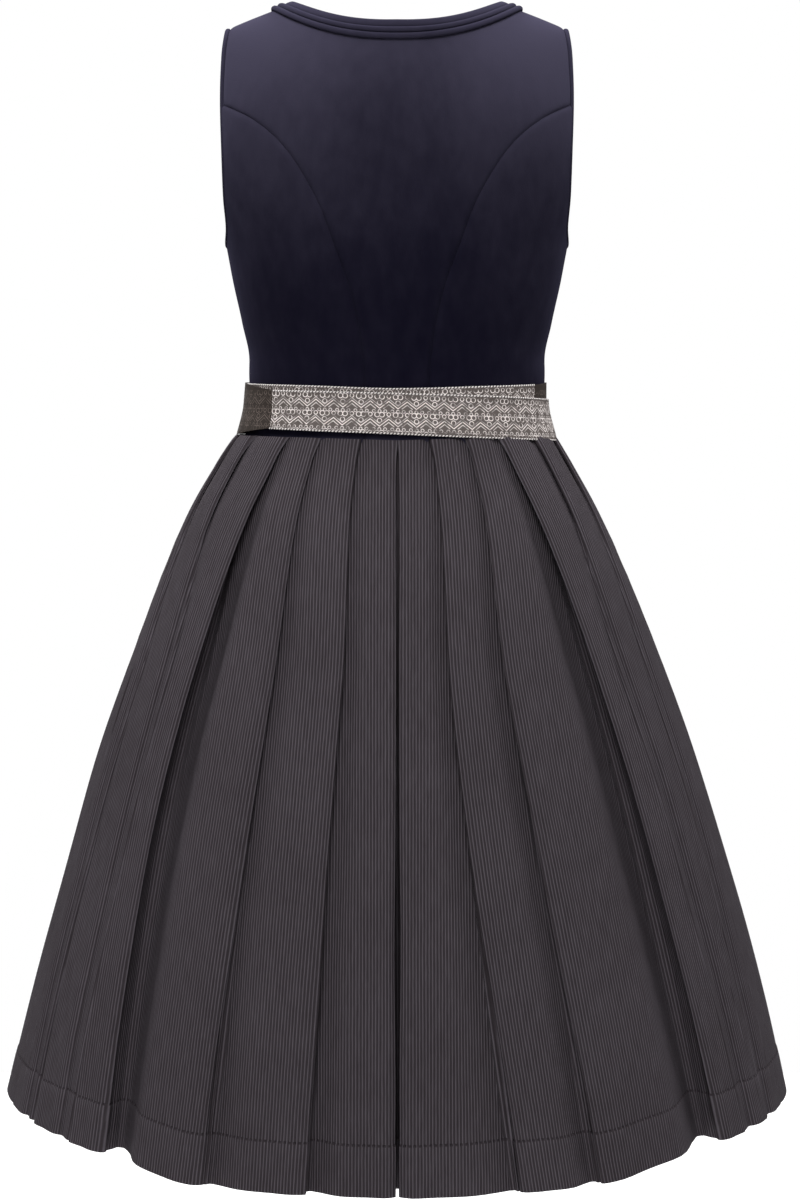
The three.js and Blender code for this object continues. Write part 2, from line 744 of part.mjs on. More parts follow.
function addNeckCords() {
  for (const [name, inset] of Object.entries(NECK_CORD_PLACES)) {
    const lift = NECK_CORD.halfHeight + LAYER_GAP;
    const rings = cordRings(neckRun(inset), NECK_CORD.halfWidth, NECK_CORD.halfHeight, lift, false);
    const last = rings.length - 1;
    rings[0] = rings[0].map((p) => new THREE.Vector3(SEAM_GAP, p.y, p.z));
    rings[last] = rings[last].map((p) => new THREE.Vector3(-SEAM_GAP, p.y, p.z));
    add(`neck_cord_${name}`, ringSolid(rings), VELVET);
  }
}

function addArmholePiping() {
  const edge = (seamTop, front) => {
    const stretches = [armhole(ARMHOLE_LOW, seamTop, front), armhole(seamTop, ARMHOLE_TOP, front)];
    return stretches.flatMap((curve) => [0, 0.2, 0.4, 0.6, 0.8].map((t) => curve(t)));
  };
  const tip = { ...armhole(FRONT_PRINCESS_H, ARMHOLE_TOP, true)(1), level: 2 };
  const loop = [...edge(BACK_PRINCESS_H, false), tip, ...edge(FRONT_PRINCESS_H, true).slice(1).reverse()];
  const run = besideRun(loop, PIPING_RADIUS + 2 * SEAM_GAP, true);
  const rings = cordRings(run, PIPING_RADIUS, PIPING_RADIUS, -BODICE_WALL / 2, true);
  for (const [word, side] of [["left", 1], ["right", -1]]) {
    const solid = ringSolid(rings.map((ring) => ring.map((p) => mirrored(p, side))), true);
    add(`armhole_piping_${word}`, solid, VELVET);
  }
}

function addPlacket() {
  const rows = [];
  const top = FRONT_NECK_H - NECK_CORD_PLACES.outer - NECK_CORD.halfWidth - 1;
  for (let i = 0; i <= PLACKET.steps; i += 1) {
    const level = mix(PLACKET.bottom, top, i / PLACKET.steps) / ROLL_H;
    const reach = PLACKET.halfWidth / torsoRadius(Math.PI, level * ROLL_H);
    const out = LAYER_GAP + PLACKET.wall;
    rows.push(
      [-1, 0, 1].map((share) => {
        const place = { angle: Math.PI + share * reach, level };
        return { outer: torsoPoint(place, out), inner: torsoPoint(place, LAYER_GAP) };
      }),
    );
  }
  const wall = new Wall();
  wall.addGrid(rows);
  add("front_placket", wall.solid(), VELVET);
}

function addButtons() {
  const outline = BUTTON_OUTLINE.map(
    (stop) => new THREE.Vector2(BUTTON.radius * stop.out, BUTTON.height * stop.up),
  );
  const shape = new THREE.LatheGeometry(outline, BUTTON.sides);
  for (let i = 0; i < BUTTON.count; i += 1) {
    const h = mix(BUTTON.lowest, BUTTON.highest, i / (BUTTON.count - 1));
    const place = { angle: Math.PI, level: h / ROLL_H };
    const out = torsoNormal(place);
    const turn = new THREE.Quaternion().setFromUnitVectors(new THREE.Vector3(0, 1, 0), out);
    const mesh = new THREE.Mesh(shape, new THREE.MeshStandardMaterial(BUTTON_METAL));
    mesh.name = `button_${i + 1}`;
    mesh.position.copy(torsoPoint(place, PLACKET.wall + LAYER_GAP + SEAM_GAP));
    mesh.quaternion.copy(turn);
    garment.add(mesh);
  }
}

// The skirt

function skirtRadius(angle, down) {
  const depth = column(SKIRT, Math.cos(angle) > 0 ? "back" : "front", down);
  const half = column(SKIRT, Math.sin(angle) > 0 ? "left" : "right", down);
  return ovalRadius(angle, half, depth, column(SKIRT, "power", down));
}

// One point of a skirt section: an angle, a shift along the cloth and a depth in from the form
function skirtSpot(angle, shift, depth, down) {
  const turned = angle + shift / skirtRadius(angle, down);
  const radius = skirtRadius(turned, down) - depth - SKIRT_WALL / 2;
  return new THREE.Vector2(radius * Math.sin(turned), radius * Math.cos(turned));
}

// Half a section, from a centre line to a side seam. Each fold is laid as a face that sinks to the
// next edge, a turn at the bottom of its tuck, the way back and the turn at the next edge. The
// shares of a turn blend from an open wave to a fold that lies flat on itself.
// `from` is the angle of the centre line, and `way` is the direction in which the half runs.
function halfSection(pleats, seamAngle, from, way, down) {
  const share = down / SKIRT_LENGTH;
  const easing = limit(down / PLEAT_MIDDLE, 0, 1);
  const edge = mix(LAYER_PITCH / 2, FOLD_RADIUS_HEM, share);
  const spots = [];
  const put = (angle, shift, depth) => spots.push(skirtSpot(from + way * angle, way * shift, depth, down));
  let faceFrom = 0;
  pleats.forEach((pleat, k) => {
    const at = radians(alongPleat(pleat.waist, pleat.middle, pleat.hem, down));
    const tuck = alongPleat(pleat.tuck, pleat.tuckMid, pleat.tuckHem, down);
    const valley = alongPleat(2 * LAYER_PITCH, pleat.valleyMid, pleat.valleyHem, down);
    const turn = mix(LAYER_PITCH / 2, valley * 0.28, easing);
    const folded = limit(tuck / (4 * turn) + 0.5, 0, 1);
    if (k === 0) {
      put(0, 0, valley);
    } else {
      put(mix(faceFrom, at, 0.55), 0, valley * 0.2);
      put(at, mix(-2.2, -1, folded) * turn - 1 + Math.min(tuck, 0), valley * 0.9);
    }
    put(at, tuck - mix(1, 0.6, folded) * turn, valley);
    put(at, tuck + mix(0.4, 0, folded) * turn, valley - mix(0.2, 1, folded) * turn);
    put(at, tuck + mix(0.9, -0.6, folded) * turn, valley - mix(1.3, 2, folded) * turn);
    put(at, mix(-0.3, 1, folded) * edge, mix(2.4, 2, folded) * edge);
    put(at, 0, edge);
    put(at, mix(1.7, 1, folded) * edge, 0);
    faceFrom = at;
  });
  for (const part of [0.3, 0.62]) put(mix(faceFrom, seamAngle, part), 0, 0);
  put(seamAngle, -SEAM_GAP / 2, 0);
  return spots;
}

// The whole section of the back or the front, in the order of rising angle
function skirtSection(name, down) {
  const seam = radians(column(SIDE_SEAM, "angle", down));
  const back = name === "skirt_back";
  const rising = back
    ? halfSection(BACK_LEFT_PLEATS, seam, 0, 1, down)
    : halfSection(FRONT_PLEATS, Math.PI - seam, Math.PI, 1, down);
  const falling = back
    ? halfSection(BACK_RIGHT_PLEATS, seam, 0, -1, down)
    : halfSection(FRONT_PLEATS, Math.PI - seam, Math.PI, -1, down);
  return [...falling.slice(1).reverse(), ...rising];
}

// The height of a skirt point, with the hem lifted at the sides
function skirtZ(spot, down) {
  const angle = (Math.atan2(Math.abs(spot.x), spot.y) * 180) / Math.PI;
  const lift = column(HEM_RISE, "rise", angle) * (down / SKIRT_LENGTH) ** 2;
  return lift - SHOULDER_H - SEAM_GAP - down;
}

function addSkirt(name) {
  const rows = SKIRT_LEVELS.map((down) => {
    const spots = skirtSection(name, down);
    const last = spots.length - 1;
    return spots.map((spot, j) => {
      const came = spots[Math.max(j, 1)].clone().sub(spots[Math.max(j, 1) - 1]).normalize();
      const goes = spots[Math.min(j + 1, last)].clone().sub(spots[Math.min(j, last - 1)]).normalize();
      const along = came.clone().add(goes).normalize();
      const miter = Math.max(along.dot(goes), 0.6);
      const off = new THREE.Vector2(-along.y, along.x).multiplyScalar(SKIRT_WALL / 2 / miter);
      const z = skirtZ(spot, down);
      return {
        outer: new THREE.Vector3(spot.x + off.x, spot.y + off.y, z),
        inner: new THREE.Vector3(spot.x - off.x, spot.y - off.y, z),
      };
    });
  });
  const wall = new Wall();
  wall.addGrid(rows);
  add(name, wall.solid(), RIBBED);
}

// The apron and its ties

// A point off the garment: on the bodice where h is positive, on the skirt's form below it
function garmentSkin(angle, h) {
  if (h >= 0) return torsoSkin({ angle, level: h / ROLL_H });
  const radius = skirtRadius(angle, -h);
  return new THREE.Vector3(radius * Math.sin(angle), radius * Math.cos(angle), h);
}

function garmentPoint(angle, h, out) {
  const tiny = 0.01;
  const reach = h > -20 ? 3 : 8;
  const round = garmentSkin(angle + tiny, h).sub(garmentSkin(angle - tiny, h));
  const up = garmentSkin(angle, h + reach).sub(garmentSkin(angle, h - reach));
  const point = garmentSkin(angle, h).addScaledVector(up.cross(round).normalize(), out);
  point.z -= SHOULDER_H;
  return point;
}

function addApron() {
  const hanging = SKIRT_LEVELS.filter((down) => down < APRON_LENGTH).map((down) => -down);
  const levels = [APRON_TOP_H, 2, ...hanging, -APRON_LENGTH];
  const cols = APRON_WAVES * 4;
  const rows = levels.map((h) => {
    const down = Math.max(-h, 0);
    const spread = radians(column(APRON_SPREAD, "angle", down));
    const wave = mix(APRON_WAVE_WAIST, APRON_WAVE_HEM, down / APRON_LENGTH);
    const row = [];
    for (let j = 0; j <= cols; j += 1) {
      const share = j / cols;
      const angle = Math.PI + mix(-spread, spread, share);
      const swell = 0.5 - 0.5 * Math.cos(share * APRON_WAVES * 2 * Math.PI);
      const out = APRON_CLEAR + wave * swell;
      row.push({
        outer: garmentPoint(angle, h, out + SKIRT_WALL),
        inner: garmentPoint(angle, h, out),
      });
    }
    return row;
  });
  const wall = new Wall();
  wall.addGrid(rows);
  add("apron", wall.solid(), APRON_CLOTH);
}

// A band round the waist, from a table of its lower edge, its upper edge, its place outwards and
// how far its lower edge stands out more
function addBand(name, table, cloth) {
  const [first, last] = [table[0].at, table[table.length - 1].at];
  const stops = [first];
  const start = Math.floor(first / BAND_STEP + 1.2);
  for (let i = start; i * BAND_STEP < last - 1; i += 1) stops.push(i * BAND_STEP);
  stops.push(last);
  const columns = [];
  for (const at of stops) {
    const near = column(table, "out", at);
    const flare = column(table, "flare", at);
    columns.push(
      [0, 0.5, 1].map((share) => {
        const h = mix(column(table, "bottom", at), column(table, "top", at), share);
        const place = { angle: radians(at), level: h / ROLL_H };
        const out = near + flare * (1 - share);
        return { outer: torsoPoint(place, out + BAND_WALL), inner: torsoPoint(place, out) };
      }),
    );
  }
  const wall = new Wall();
  wall.addGrid(columns);
  add(name, wall.solid(), cloth);
}

// Directions at the bow: along the waistband, up and outwards
function bowFrame() {
  const angle = radians(BOW_ANGLE);
  const place = { angle, level: BOW_H / ROLL_H };
  const out = torsoNormal(place);
  const up = new THREE.Vector3(0, 0, 1).addScaledVector(out, -out.z).normalize();
  return { angle, out, up, along: up.clone().cross(out).normalize(), centre: torsoPoint(place) };
}

function addKnot() {
  const { out, up, along, centre } = bowFrame();
  const rings = [-1, -0.72, 0, 0.72, 1].map((share) => {
    const slim = Math.sqrt(1 - (share * 0.86) ** 2);
    const ring = [];
    for (let k = 0; k < 10; k += 1) {
      const turn = (k / 10) * 4 * QUARTER;
      const lift = KNOT.out + KNOT.halfDepth + KNOT.halfDepth * Math.sin(turn) * slim;
      ring.push(
        centre
          .clone()
          .addScaledVector(along, KNOT.halfWidth * Math.cos(turn) * slim)
          .addScaledVector(out, lift)
          .addScaledVector(up, KNOT.halfHeight * share),
      );
    }
    return ring;
  });
  add("bow_knot", ringSolid(rings), SILVER_JACQUARD);
}

function addBowLoop(name, way) {
  const { angle, up } = bowFrame();
  const path = BOW_LOOP.map((row) => {
    const h = BOW_H - row.along * BOW_DROOP;
    const turned = angle + (way * row.along) / torsoRadius(angle, BOW_H);
    const level = { angle: turned, level: h / ROLL_H };
    return { point: torsoPoint(level, row.out), half: row.half };
  });
  const curve = new THREE.CatmullRomCurve3(path.map((row) => row.point));
  const halves = path.map((row, i) => ({ at: i, half: row.half }));
  const steps = 18;
  const grid = [];
  for (let i = 0; i <= steps; i += 1) {
    const t = i / steps;
    const point = curve.getPoint(t);
    const tangent = curve.getTangent(t);
    const off = up.clone().cross(tangent).setLength(way);
    const half = column(halves, "half", t * (path.length - 1));
    grid.push(
      [-1, 1].map((share) => {
        const edge = point.clone().addScaledVector(up, half * share);
        return { outer: edge.clone().addScaledVector(off, BAND_WALL), inner: edge };
      }),
    );
  }
  const wall = new Wall();
  wall.addGrid(grid);
  add(name, wall.solid(), SILVER_JACQUARD);
}

function addTieEnd(end) {
  const top = BOW_H - KNOT.halfHeight - 2.5 * SEAM_GAP;
  const steps = 13;
  const grid = [];
  for (let i = 0; i <= steps; i += 1) {
    const t = i / steps;
    const h = top - end.length * t ** 1.35;
    const down = Math.max(-h, 0);
    const opened = limit(t * 4, 0, 1);
    const middle = radians(BOW_ANGLE + end.side * mix(end.spread, end.far, t));
    const half = TIE_END_HALF * mix(0.5, 1, opened) / garmentSkin(middle, h).setZ(0).length();
    const clear = APRON_CLEAR + SKIRT_WALL + mix(APRON_WAVE_WAIST, APRON_WAVE_HEM, down / APRON_LENGTH);
    grid.push(
      [-1, 0, 1].map((share) => {
        const angle = middle + half * share;
        const out = clear + end.out;
        return { outer: garmentPoint(angle, h, out + BAND_WALL), inner: garmentPoint(angle, h, out) };
      }),
    );
  }
  const wall = new Wall();
  wall.addGrid(grid);
  add(end.name, wall.solid(), SILVER_JACQUARD);
}

addBodice();
addNeckBand();
addNeckCords();
addArmholePiping();
addPlacket();
addButtons();
addSkirt("skirt_back");
addSkirt("skirt_front");
addApron();
addBand("apron_waistband", WAISTBAND, TAUPE_JACQUARD);
addBand("tie_over", TIE_OVER, SILVER_JACQUARD);
addBand("tie_under", TIE_UNDER, SILVER_JACQUARD);
addKnot();
addBowLoop("bow_loop_left", -1);
addBowLoop("bow_loop_right", 1);
TIE_ENDS.forEach(addTieEnd);

export default garment;
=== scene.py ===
"""A dirndl hanging as it does when worn, seen from behind.

The cloth follows the same forms as the fixed frame: a torso form for the bodice, the belt and the
trims, and a flared form with knife pleats for the skirt. Sizes of the garment are in millimetres,
as a maker writes them, and each point is turned into metres as it leaves its form.
"""

from __future__ import annotations

import json
import logging
import math
from dataclasses import dataclass
from enum import Enum
from typing import Callable, Sequence

import bpy
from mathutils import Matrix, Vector

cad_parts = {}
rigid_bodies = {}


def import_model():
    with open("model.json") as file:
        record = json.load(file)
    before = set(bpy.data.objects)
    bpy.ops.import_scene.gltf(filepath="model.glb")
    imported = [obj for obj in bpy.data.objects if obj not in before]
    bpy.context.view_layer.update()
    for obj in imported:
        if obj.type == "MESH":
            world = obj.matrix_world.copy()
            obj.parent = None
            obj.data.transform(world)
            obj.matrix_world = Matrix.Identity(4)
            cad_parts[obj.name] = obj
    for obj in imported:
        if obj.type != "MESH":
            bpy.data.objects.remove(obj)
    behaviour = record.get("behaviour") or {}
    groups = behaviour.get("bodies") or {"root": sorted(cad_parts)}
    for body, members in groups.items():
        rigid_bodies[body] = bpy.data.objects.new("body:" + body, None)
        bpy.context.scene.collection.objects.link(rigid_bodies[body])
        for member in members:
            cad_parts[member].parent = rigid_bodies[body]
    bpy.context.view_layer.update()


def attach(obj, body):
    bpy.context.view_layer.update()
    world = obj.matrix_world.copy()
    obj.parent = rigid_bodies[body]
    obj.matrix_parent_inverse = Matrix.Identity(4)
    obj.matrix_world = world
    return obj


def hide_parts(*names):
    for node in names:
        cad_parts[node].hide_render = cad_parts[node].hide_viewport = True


LOG = logging.getLogger("dirndl")
MM = 0.001
SHOULDER_H = 372.0
QUARTER = math.pi / 2
CIRCLE = 2 * math.pi
PLEAT_POINTS = 9
EVEN_WELD = 1e-7
FIRM_WELD = 2e-6

Two = tuple[float, float]
Three = tuple[float, float, float]
Four = tuple[float, float, float, float]
Place = Two
Colour = Three
Spot = tuple[Vector, Two]
Curve = Callable[[float], Place]
Outwards = Callable[[Vector], Vector]
Piece = bpy.types.Object
Material = bpy.types.Material
Socket = bpy.types.NodeSocket


def mix(a: float, b: float, t: float) -> float:
    """Return the value a share t of the way from a to b."""
    return a + (b - a) * t


def limit(value: float, low: float, high: float) -> float:
    """Return the value kept between low and high."""
    return min(max(value, low), high)


def ease(t: float) -> float:
    """Return a share that starts and ends softly."""
    t = limit(t, 0.0, 1.0)
    return t * t * (3 - 2 * t)


def bell(value: float, width: float, power: float = 2) -> float:
    """Return 1 at zero, falling softly to 0 over a few widths."""
    return math.exp(-((value / width) ** power))


def shares(count: int) -> list[float]:
    """Return the shares from 0 to 1 at the ends of equal steps."""
    return [i / count for i in range(count + 1)]


def hermite(start: object, end: object, leave: object, arrive: object, t: float) -> object:
    """Return the number or point a share t along the smooth curve with the given end slopes."""
    square, cube = t**2, t**3
    return (
        start * (2 * cube - 3 * square + 1)
        + leave * (cube - 2 * square + t)
        + end * (3 * square - 2 * cube)
        + arrive * (cube - square)
    )


def heading(points: Sequence[Vector], i: int, closed: bool = False) -> Vector:
    """Return the direction of a run of points at one of them."""
    count = len(points)
    if closed:
        return (points[(i + 1) % count] - points[(i - 1) % count]).normalized()
    return (points[min(i + 1, count - 1)] - points[max(i - 1, 0)]).normalized()


def ring(centre: Vector, across: Vector, up: Vector, sides: int, start: float = 0.0) -> list[Vector]:
    """Return the points of an oval round a centre, from its two half axes."""
    turns = [CIRCLE * (k + start) / sides for k in range(sides)]
    return [centre + across * math.cos(turn) + up * math.sin(turn) for turn in turns]


def outwards_from_axis(point: Vector) -> Vector:
    """Return the direction away from the garment's upright axis."""
    return Vector((point.x, point.y, 0.15))


class Table:
    """Rows of sizes under named columns, read on a smooth curve that never swings past its rows.

    The first column is the one that the others are read against.
    """

    def __init__(self, names: str, *rows: tuple[float, ...]) -> None:
        """Store the rows and work out each column's slopes.

        Args:
            names: The columns' names, with spaces between them.
            rows: The values, a row at a time.
        """
        self.at = [row[0] for row in rows]
        self.columns = {name: [row[k] for row in rows] for k, name in enumerate(names.split())}
        self.slopes = {name: self._slopes(values) for name, values in self.columns.items()}

    def _slopes(self, values: list[float]) -> list[float]:
        """Return the slope at each row, flat where the column turns back."""
        rises = [
            (values[k + 1] - values[k]) / (self.at[k + 1] - self.at[k])
            for k in range(len(values) - 1)
        ]
        inner = [2 * a * b / (a + b) if a * b > 0 else 0.0 for a, b in zip(rises, rises[1:])]
        return [rises[0], *inner, rises[-1]]

    def read(self, name: str, at: float) -> float:
        """Return a column's value.

        Args:
            name: The column's name.
            at: The value of the first column.

        Returns:
            The value on the smooth curve through the rows.
        """
        values = self.columns[name]
        if at <= self.at[0]:
            return values[0]
        if at >= self.at[-1]:
            return values[-1]
        k = 0
        while at > self.at[k + 1]:
            k += 1
        step = self.at[k + 1] - self.at[k]
        leave, arrive = (step * slope for slope in self.slopes[name][k : k + 2])
        return hermite(values[k], values[k + 1], leave, arrive, (at - self.at[k]) / step)


def oval_radius(angle: float, half: float, depth: float, power: float) -> float:
    """Return the distance from the axis to an oval of the given width and depth."""
    across = abs(math.sin(angle) / half) ** power
    deep = abs(math.cos(angle) / depth) ** power
    return (across + deep) ** (-1 / power)


class TorsoForm:
    """The form that the bodice is cut to fit.

    A place on it is an angle from the centre back and a level: 0 at the waist seam, 1 where the
    form starts to roll forwards, and 2 on the shoulder ridge.
    """

    sections = Table(
        "at half back front bust",
        (0, 136, 98, 94, 0),
        (34, 131, 95, 95, 0),
        (70, 131, 96, 99, 2),
        (106, 137.5, 99, 106, 7),
        (141, 145, 103, 113, 14),
        (172, 151, 105.5, 118, 18),
        (195, 156, 107, 119, 17),
        (220, 162, 108, 116, 10),
        (250, 165, 109, 112, 4),
    )
    power = 2.3
    bust_x = 76.0
    bust_spread = 44.0
    roll_h = 250.0
    ridge_y = -5.0
    neck_x = 92.0
    neck_h = 387.0
    shoulder_fall = 0.393

    def radius(self, angle: float, h: float) -> float:
        """Return the form's distance from the axis at an angle and a height above the waist."""
        facing = math.cos(angle)
        depth = self.sections.read("back" if facing > 0 else "front", h)
        radius = oval_radius(angle, self.sections.read("half", h), depth, self.power)
        if facing > 0:
            return radius
        aside = (abs(radius * math.sin(angle)) - self.bust_x) / self.bust_spread
        return radius - facing * self.sections.read("bust", h) * math.exp(-aside * aside)

    def ridge(self, x: float) -> float:
        """Return the height of the shoulder ridge at a distance x from the middle."""
        return self.neck_h - (abs(x) - self.neck_x) * self.shoulder_fall

    def skin(self, place: Place) -> Vector:
        """Return the point of the form at a place, in millimetres above the waist seam."""
        angle, level = place
        h = min(level, 1.0) * self.roll_h
        radius = self.radius(angle, h)
        x, y = radius * math.sin(angle), radius * math.cos(angle)
        if level <= 1:
            return Vector((x, y, h))
        roll = (level - 1) * QUARTER
        rolled_y = self.ridge_y + (y - self.ridge_y) * math.cos(roll)
        return Vector((x, rolled_y, h + (self.ridge(x) - h) * math.sin(roll)))

    def tangents(self, place: Place) -> tuple[Vector, Vector]:
        """Return how the form's point moves with the angle and with the level."""
        tiny = 0.002
        angle, level = place
        turn = self.skin((angle + tiny, level)) - self.skin((angle - tiny, level))
        rise = self.skin((angle, level + tiny)) - self.skin((angle, level - tiny))
        return turn / (2 * tiny), rise / (2 * tiny)

    def normal(self, place: Place) -> Vector:
        """Return the direction out of the form at a place."""
        turn, rise = self.tangents(place)
        return rise.cross(turn).normalized()

    def point(self, place: Place, out: float = 0.0) -> Vector:
        """Return a point off the form.

        Args:
            place: The angle and level.
            out: The distance outwards, in millimetres.

        Returns:
            The point in metres, in the frame of the whole object.
        """
        at = self.skin(place) + self.normal(place) * out
        return Vector((at.x, at.y, at.z - SHOULDER_H)) * MM

    def place_at(self, x: float, h: float, front: bool) -> Place:
        """Return the place at a distance x to the wearer's left and a height h."""
        near, far = (math.pi if front else 0.0), QUARTER
        measured = min(h, self.roll_h)
        for _ in range(36):
            middle = (near + far) / 2
            if self.radius(middle, measured) * math.sin(middle) < x:
                near = middle
            else:
                far = middle
        angle = (near + far) / 2
        if h <= self.roll_h:
            return angle, h / self.roll_h
        rise = limit((h - self.roll_h) / (self.ridge(x) - self.roll_h), 0.0, 1.0)
        return angle, 1 + math.asin(rise) / QUARTER

    def slide(self, place: Place, move: Vector) -> Place:
        """Return the place reached by a small move along the form."""
        turn, rise = self.tangents(place)
        tt, tr, rr = turn.dot(turn), turn.dot(rise), rise.dot(rise)
        mt, mr = move.dot(turn), move.dot(rise)
        det = tt * rr - tr * tr
        angle = place[0] + (mt * rr - mr * tr) / det
        return angle, min(place[1] + (mr * tt - mt * tr) / det, 2.0)

    def beside(self, run: list[Place], distance: float, closed: bool = False) -> list[Place]:
        """Return a run of places moved sideways along the form.

        Args:
            run: The places, in order.
            distance: How far to move them, in millimetres.
            closed: Whether the run's end joins its start.

        Returns:
            The moved places.
        """
        steps = max(1, math.ceil(abs(distance) / 3))
        for _ in range(steps):
            points = [self.skin(place) for place in run]
            moved = []
            for i, place in enumerate(run):
                across = self.normal(place).cross(heading(points, i, closed)).normalized()
                moved.append(self.slide(place, across * (distance / steps)))
            run = moved
        return run

    def evenly(self, curve: Curve, samples: int = 120) -> Curve:
        """Return the same curve with its points spread evenly along its length."""
        lengths = [0.0]
        before = self.skin(curve(0.0))
        for share in shares(samples)[1:]:
            here = self.skin(curve(share))
            lengths.append(lengths[-1] + (here - before).length)
            before = here

        def even(t: float) -> Place:
            """Return the place a share t of the length along the curve."""
            wanted = t * lengths[-1]
            i = 1
            while i < samples and lengths[i] < wanted:
                i += 1
            share = (wanted - lengths[i - 1]) / ((lengths[i] - lengths[i - 1]) or 1.0)
            return curve((i - 1 + share) / samples)

        return even


class BodiceCut(TorsoForm):
    """The neckline, armholes and seams of the bodice, as curves on the form."""

    back_neck_h = 363.5
    back_neck_power = 2.4
    front_neck_h = 236.0
    front_neck_power = 2.6
    armholes = Table(
        "at back front",
        (172, 151, 151),
        (188, 148.8, 144.5),
        (213, 150.3, 139),
        (249, 151.3, 136),
        (303, 152.8, 138.5),
        (338, 151.8, 143.5),
        (368, 148.5, 148.5),
    )
    back_princess = Table(
        "at x",
        (0, 29), (54, 28.5), (96, 33), (133, 41), (173, 55.5), (204, 67), (230, 81), (257, 100),
        (279, 125), (294, 152.6),
    )
    front_princess = Table(
        "at x",
        (0, 38), (50, 38), (95, 47), (140, 63), (185, 79), (215, 91), (240, 108), (262, 136.6),
    )

    def __init__(self) -> None:
        """Work out the curves once, because they are read many times."""
        self.back_neck = self.evenly(self._back_neck)
        self.front_neck = self.evenly(self._front_neck)
        self.back_seam = self.evenly(lambda t: self._princess(self.back_princess, False, t))
        self.front_seam = self.evenly(lambda t: self._princess(self.front_princess, True, t))

    def _back_neck(self, t: float) -> Place:
        """Return the back neckline's place, from the centre up to the shoulder."""
        rise = (self.neck_h - self.back_neck_h) * t**self.back_neck_power
        return self.place_at(self.neck_x * t, self.back_neck_h + rise, False)

    def _front_neck(self, t: float) -> Place:
        """Return the front neckline's place, from the centre up to the shoulder."""
        bend = 2 / self.front_neck_power
        drop = max(math.cos(t * QUARTER), 0.0) ** bend
        x = self.neck_x * math.sin(t * QUARTER) ** bend
        return self.place_at(x, self.neck_h - (self.neck_h - self.front_neck_h) * drop, True)

    def _princess(self, table: Table, front: bool, t: float) -> Place:
        """Return a place on a curved seam, from the waist up to the armhole."""
        h = table.at[-1] * t
        return self.place_at(table.read("x", h), h, front)

    def armhole(self, low: float, high: float, front: bool) -> Curve:
        """Return the armhole's edge between two heights, going up."""
        name = "front" if front else "back"

        def edge(t: float) -> Place:
            """Return the place a share t of the height up the edge."""
            h = mix(low, high, t)
            return self.place_at(self.armholes.read(name, h), h, front)

        return self.evenly(edge)

    def neck_run(self, inset: float, steps: int) -> list[Place]:
        """Return the neckline as places, from the left front edge to the right front edge.

        Args:
            inset: How far into the cloth the run lies, in millimetres.
            steps: The number of steps on each half.

        Returns:
            The places in order, with the centre back in the middle.
        """
        back = round(steps * 0.45)
        half = [self.back_neck(i / back) for i in range(back + 1)]
        half += [self.front_neck(1 - i / (steps - back)) for i in range(1, steps - back + 1)]
        left = list(reversed(half[1:]))
        right = [(-angle, level) for angle, level in half[1:]]
        return self.beside([*left, (0.0, half[0][1]), *right], -inset)


def straight(start: Place, end: Place) -> Curve:
    """Return the straight run between two places."""
    return lambda t: (mix(start[0], end[0], t), mix(start[1], end[1], t))


def chain(first: Curve, second: Curve, turn: float) -> Curve:
    """Return one curve after another, the first up to the share `turn` of the way."""
    return lambda t: first(t / turn) if t <= turn else second((t - turn) / (1 - turn))


def patch(
    inner: Curve,
    outer: Curve,
    across: Sequence[float],
    up: Sequence[float],
    top: Curve | None = None,
) -> list[list[Place]]:
    """Fill the space between four curves with places.

    Args:
        inner: The border at the start of each row, going up.
        outer: The border at the end of each row, going up.
        across: The shares at which each row has a place.
        up: The shares at which the patch has a row.
        top: The upper border from inner to outer, straight if it isn't given.

    Returns:
        Rows of places.
    """
    a, b, c, d = inner(0.0), outer(0.0), inner(1.0), outer(1.0)
    bottom = straight(a, b)
    upper = top or straight(c, d)
    rows = []
    for v in up:
        left, right = inner(v), outer(v)
        row = []
        for u in across:
            low, high = bottom(u), upper(u)
            row.append(
                tuple(
                    mix(left[k], right[k], u)
                    + mix(low[k], high[k], v)
                    - mix(mix(a[k], b[k], u), mix(c[k], d[k], u), v)
                    for k in (0, 1)
                )
            )
        rows.append(row)
    return rows


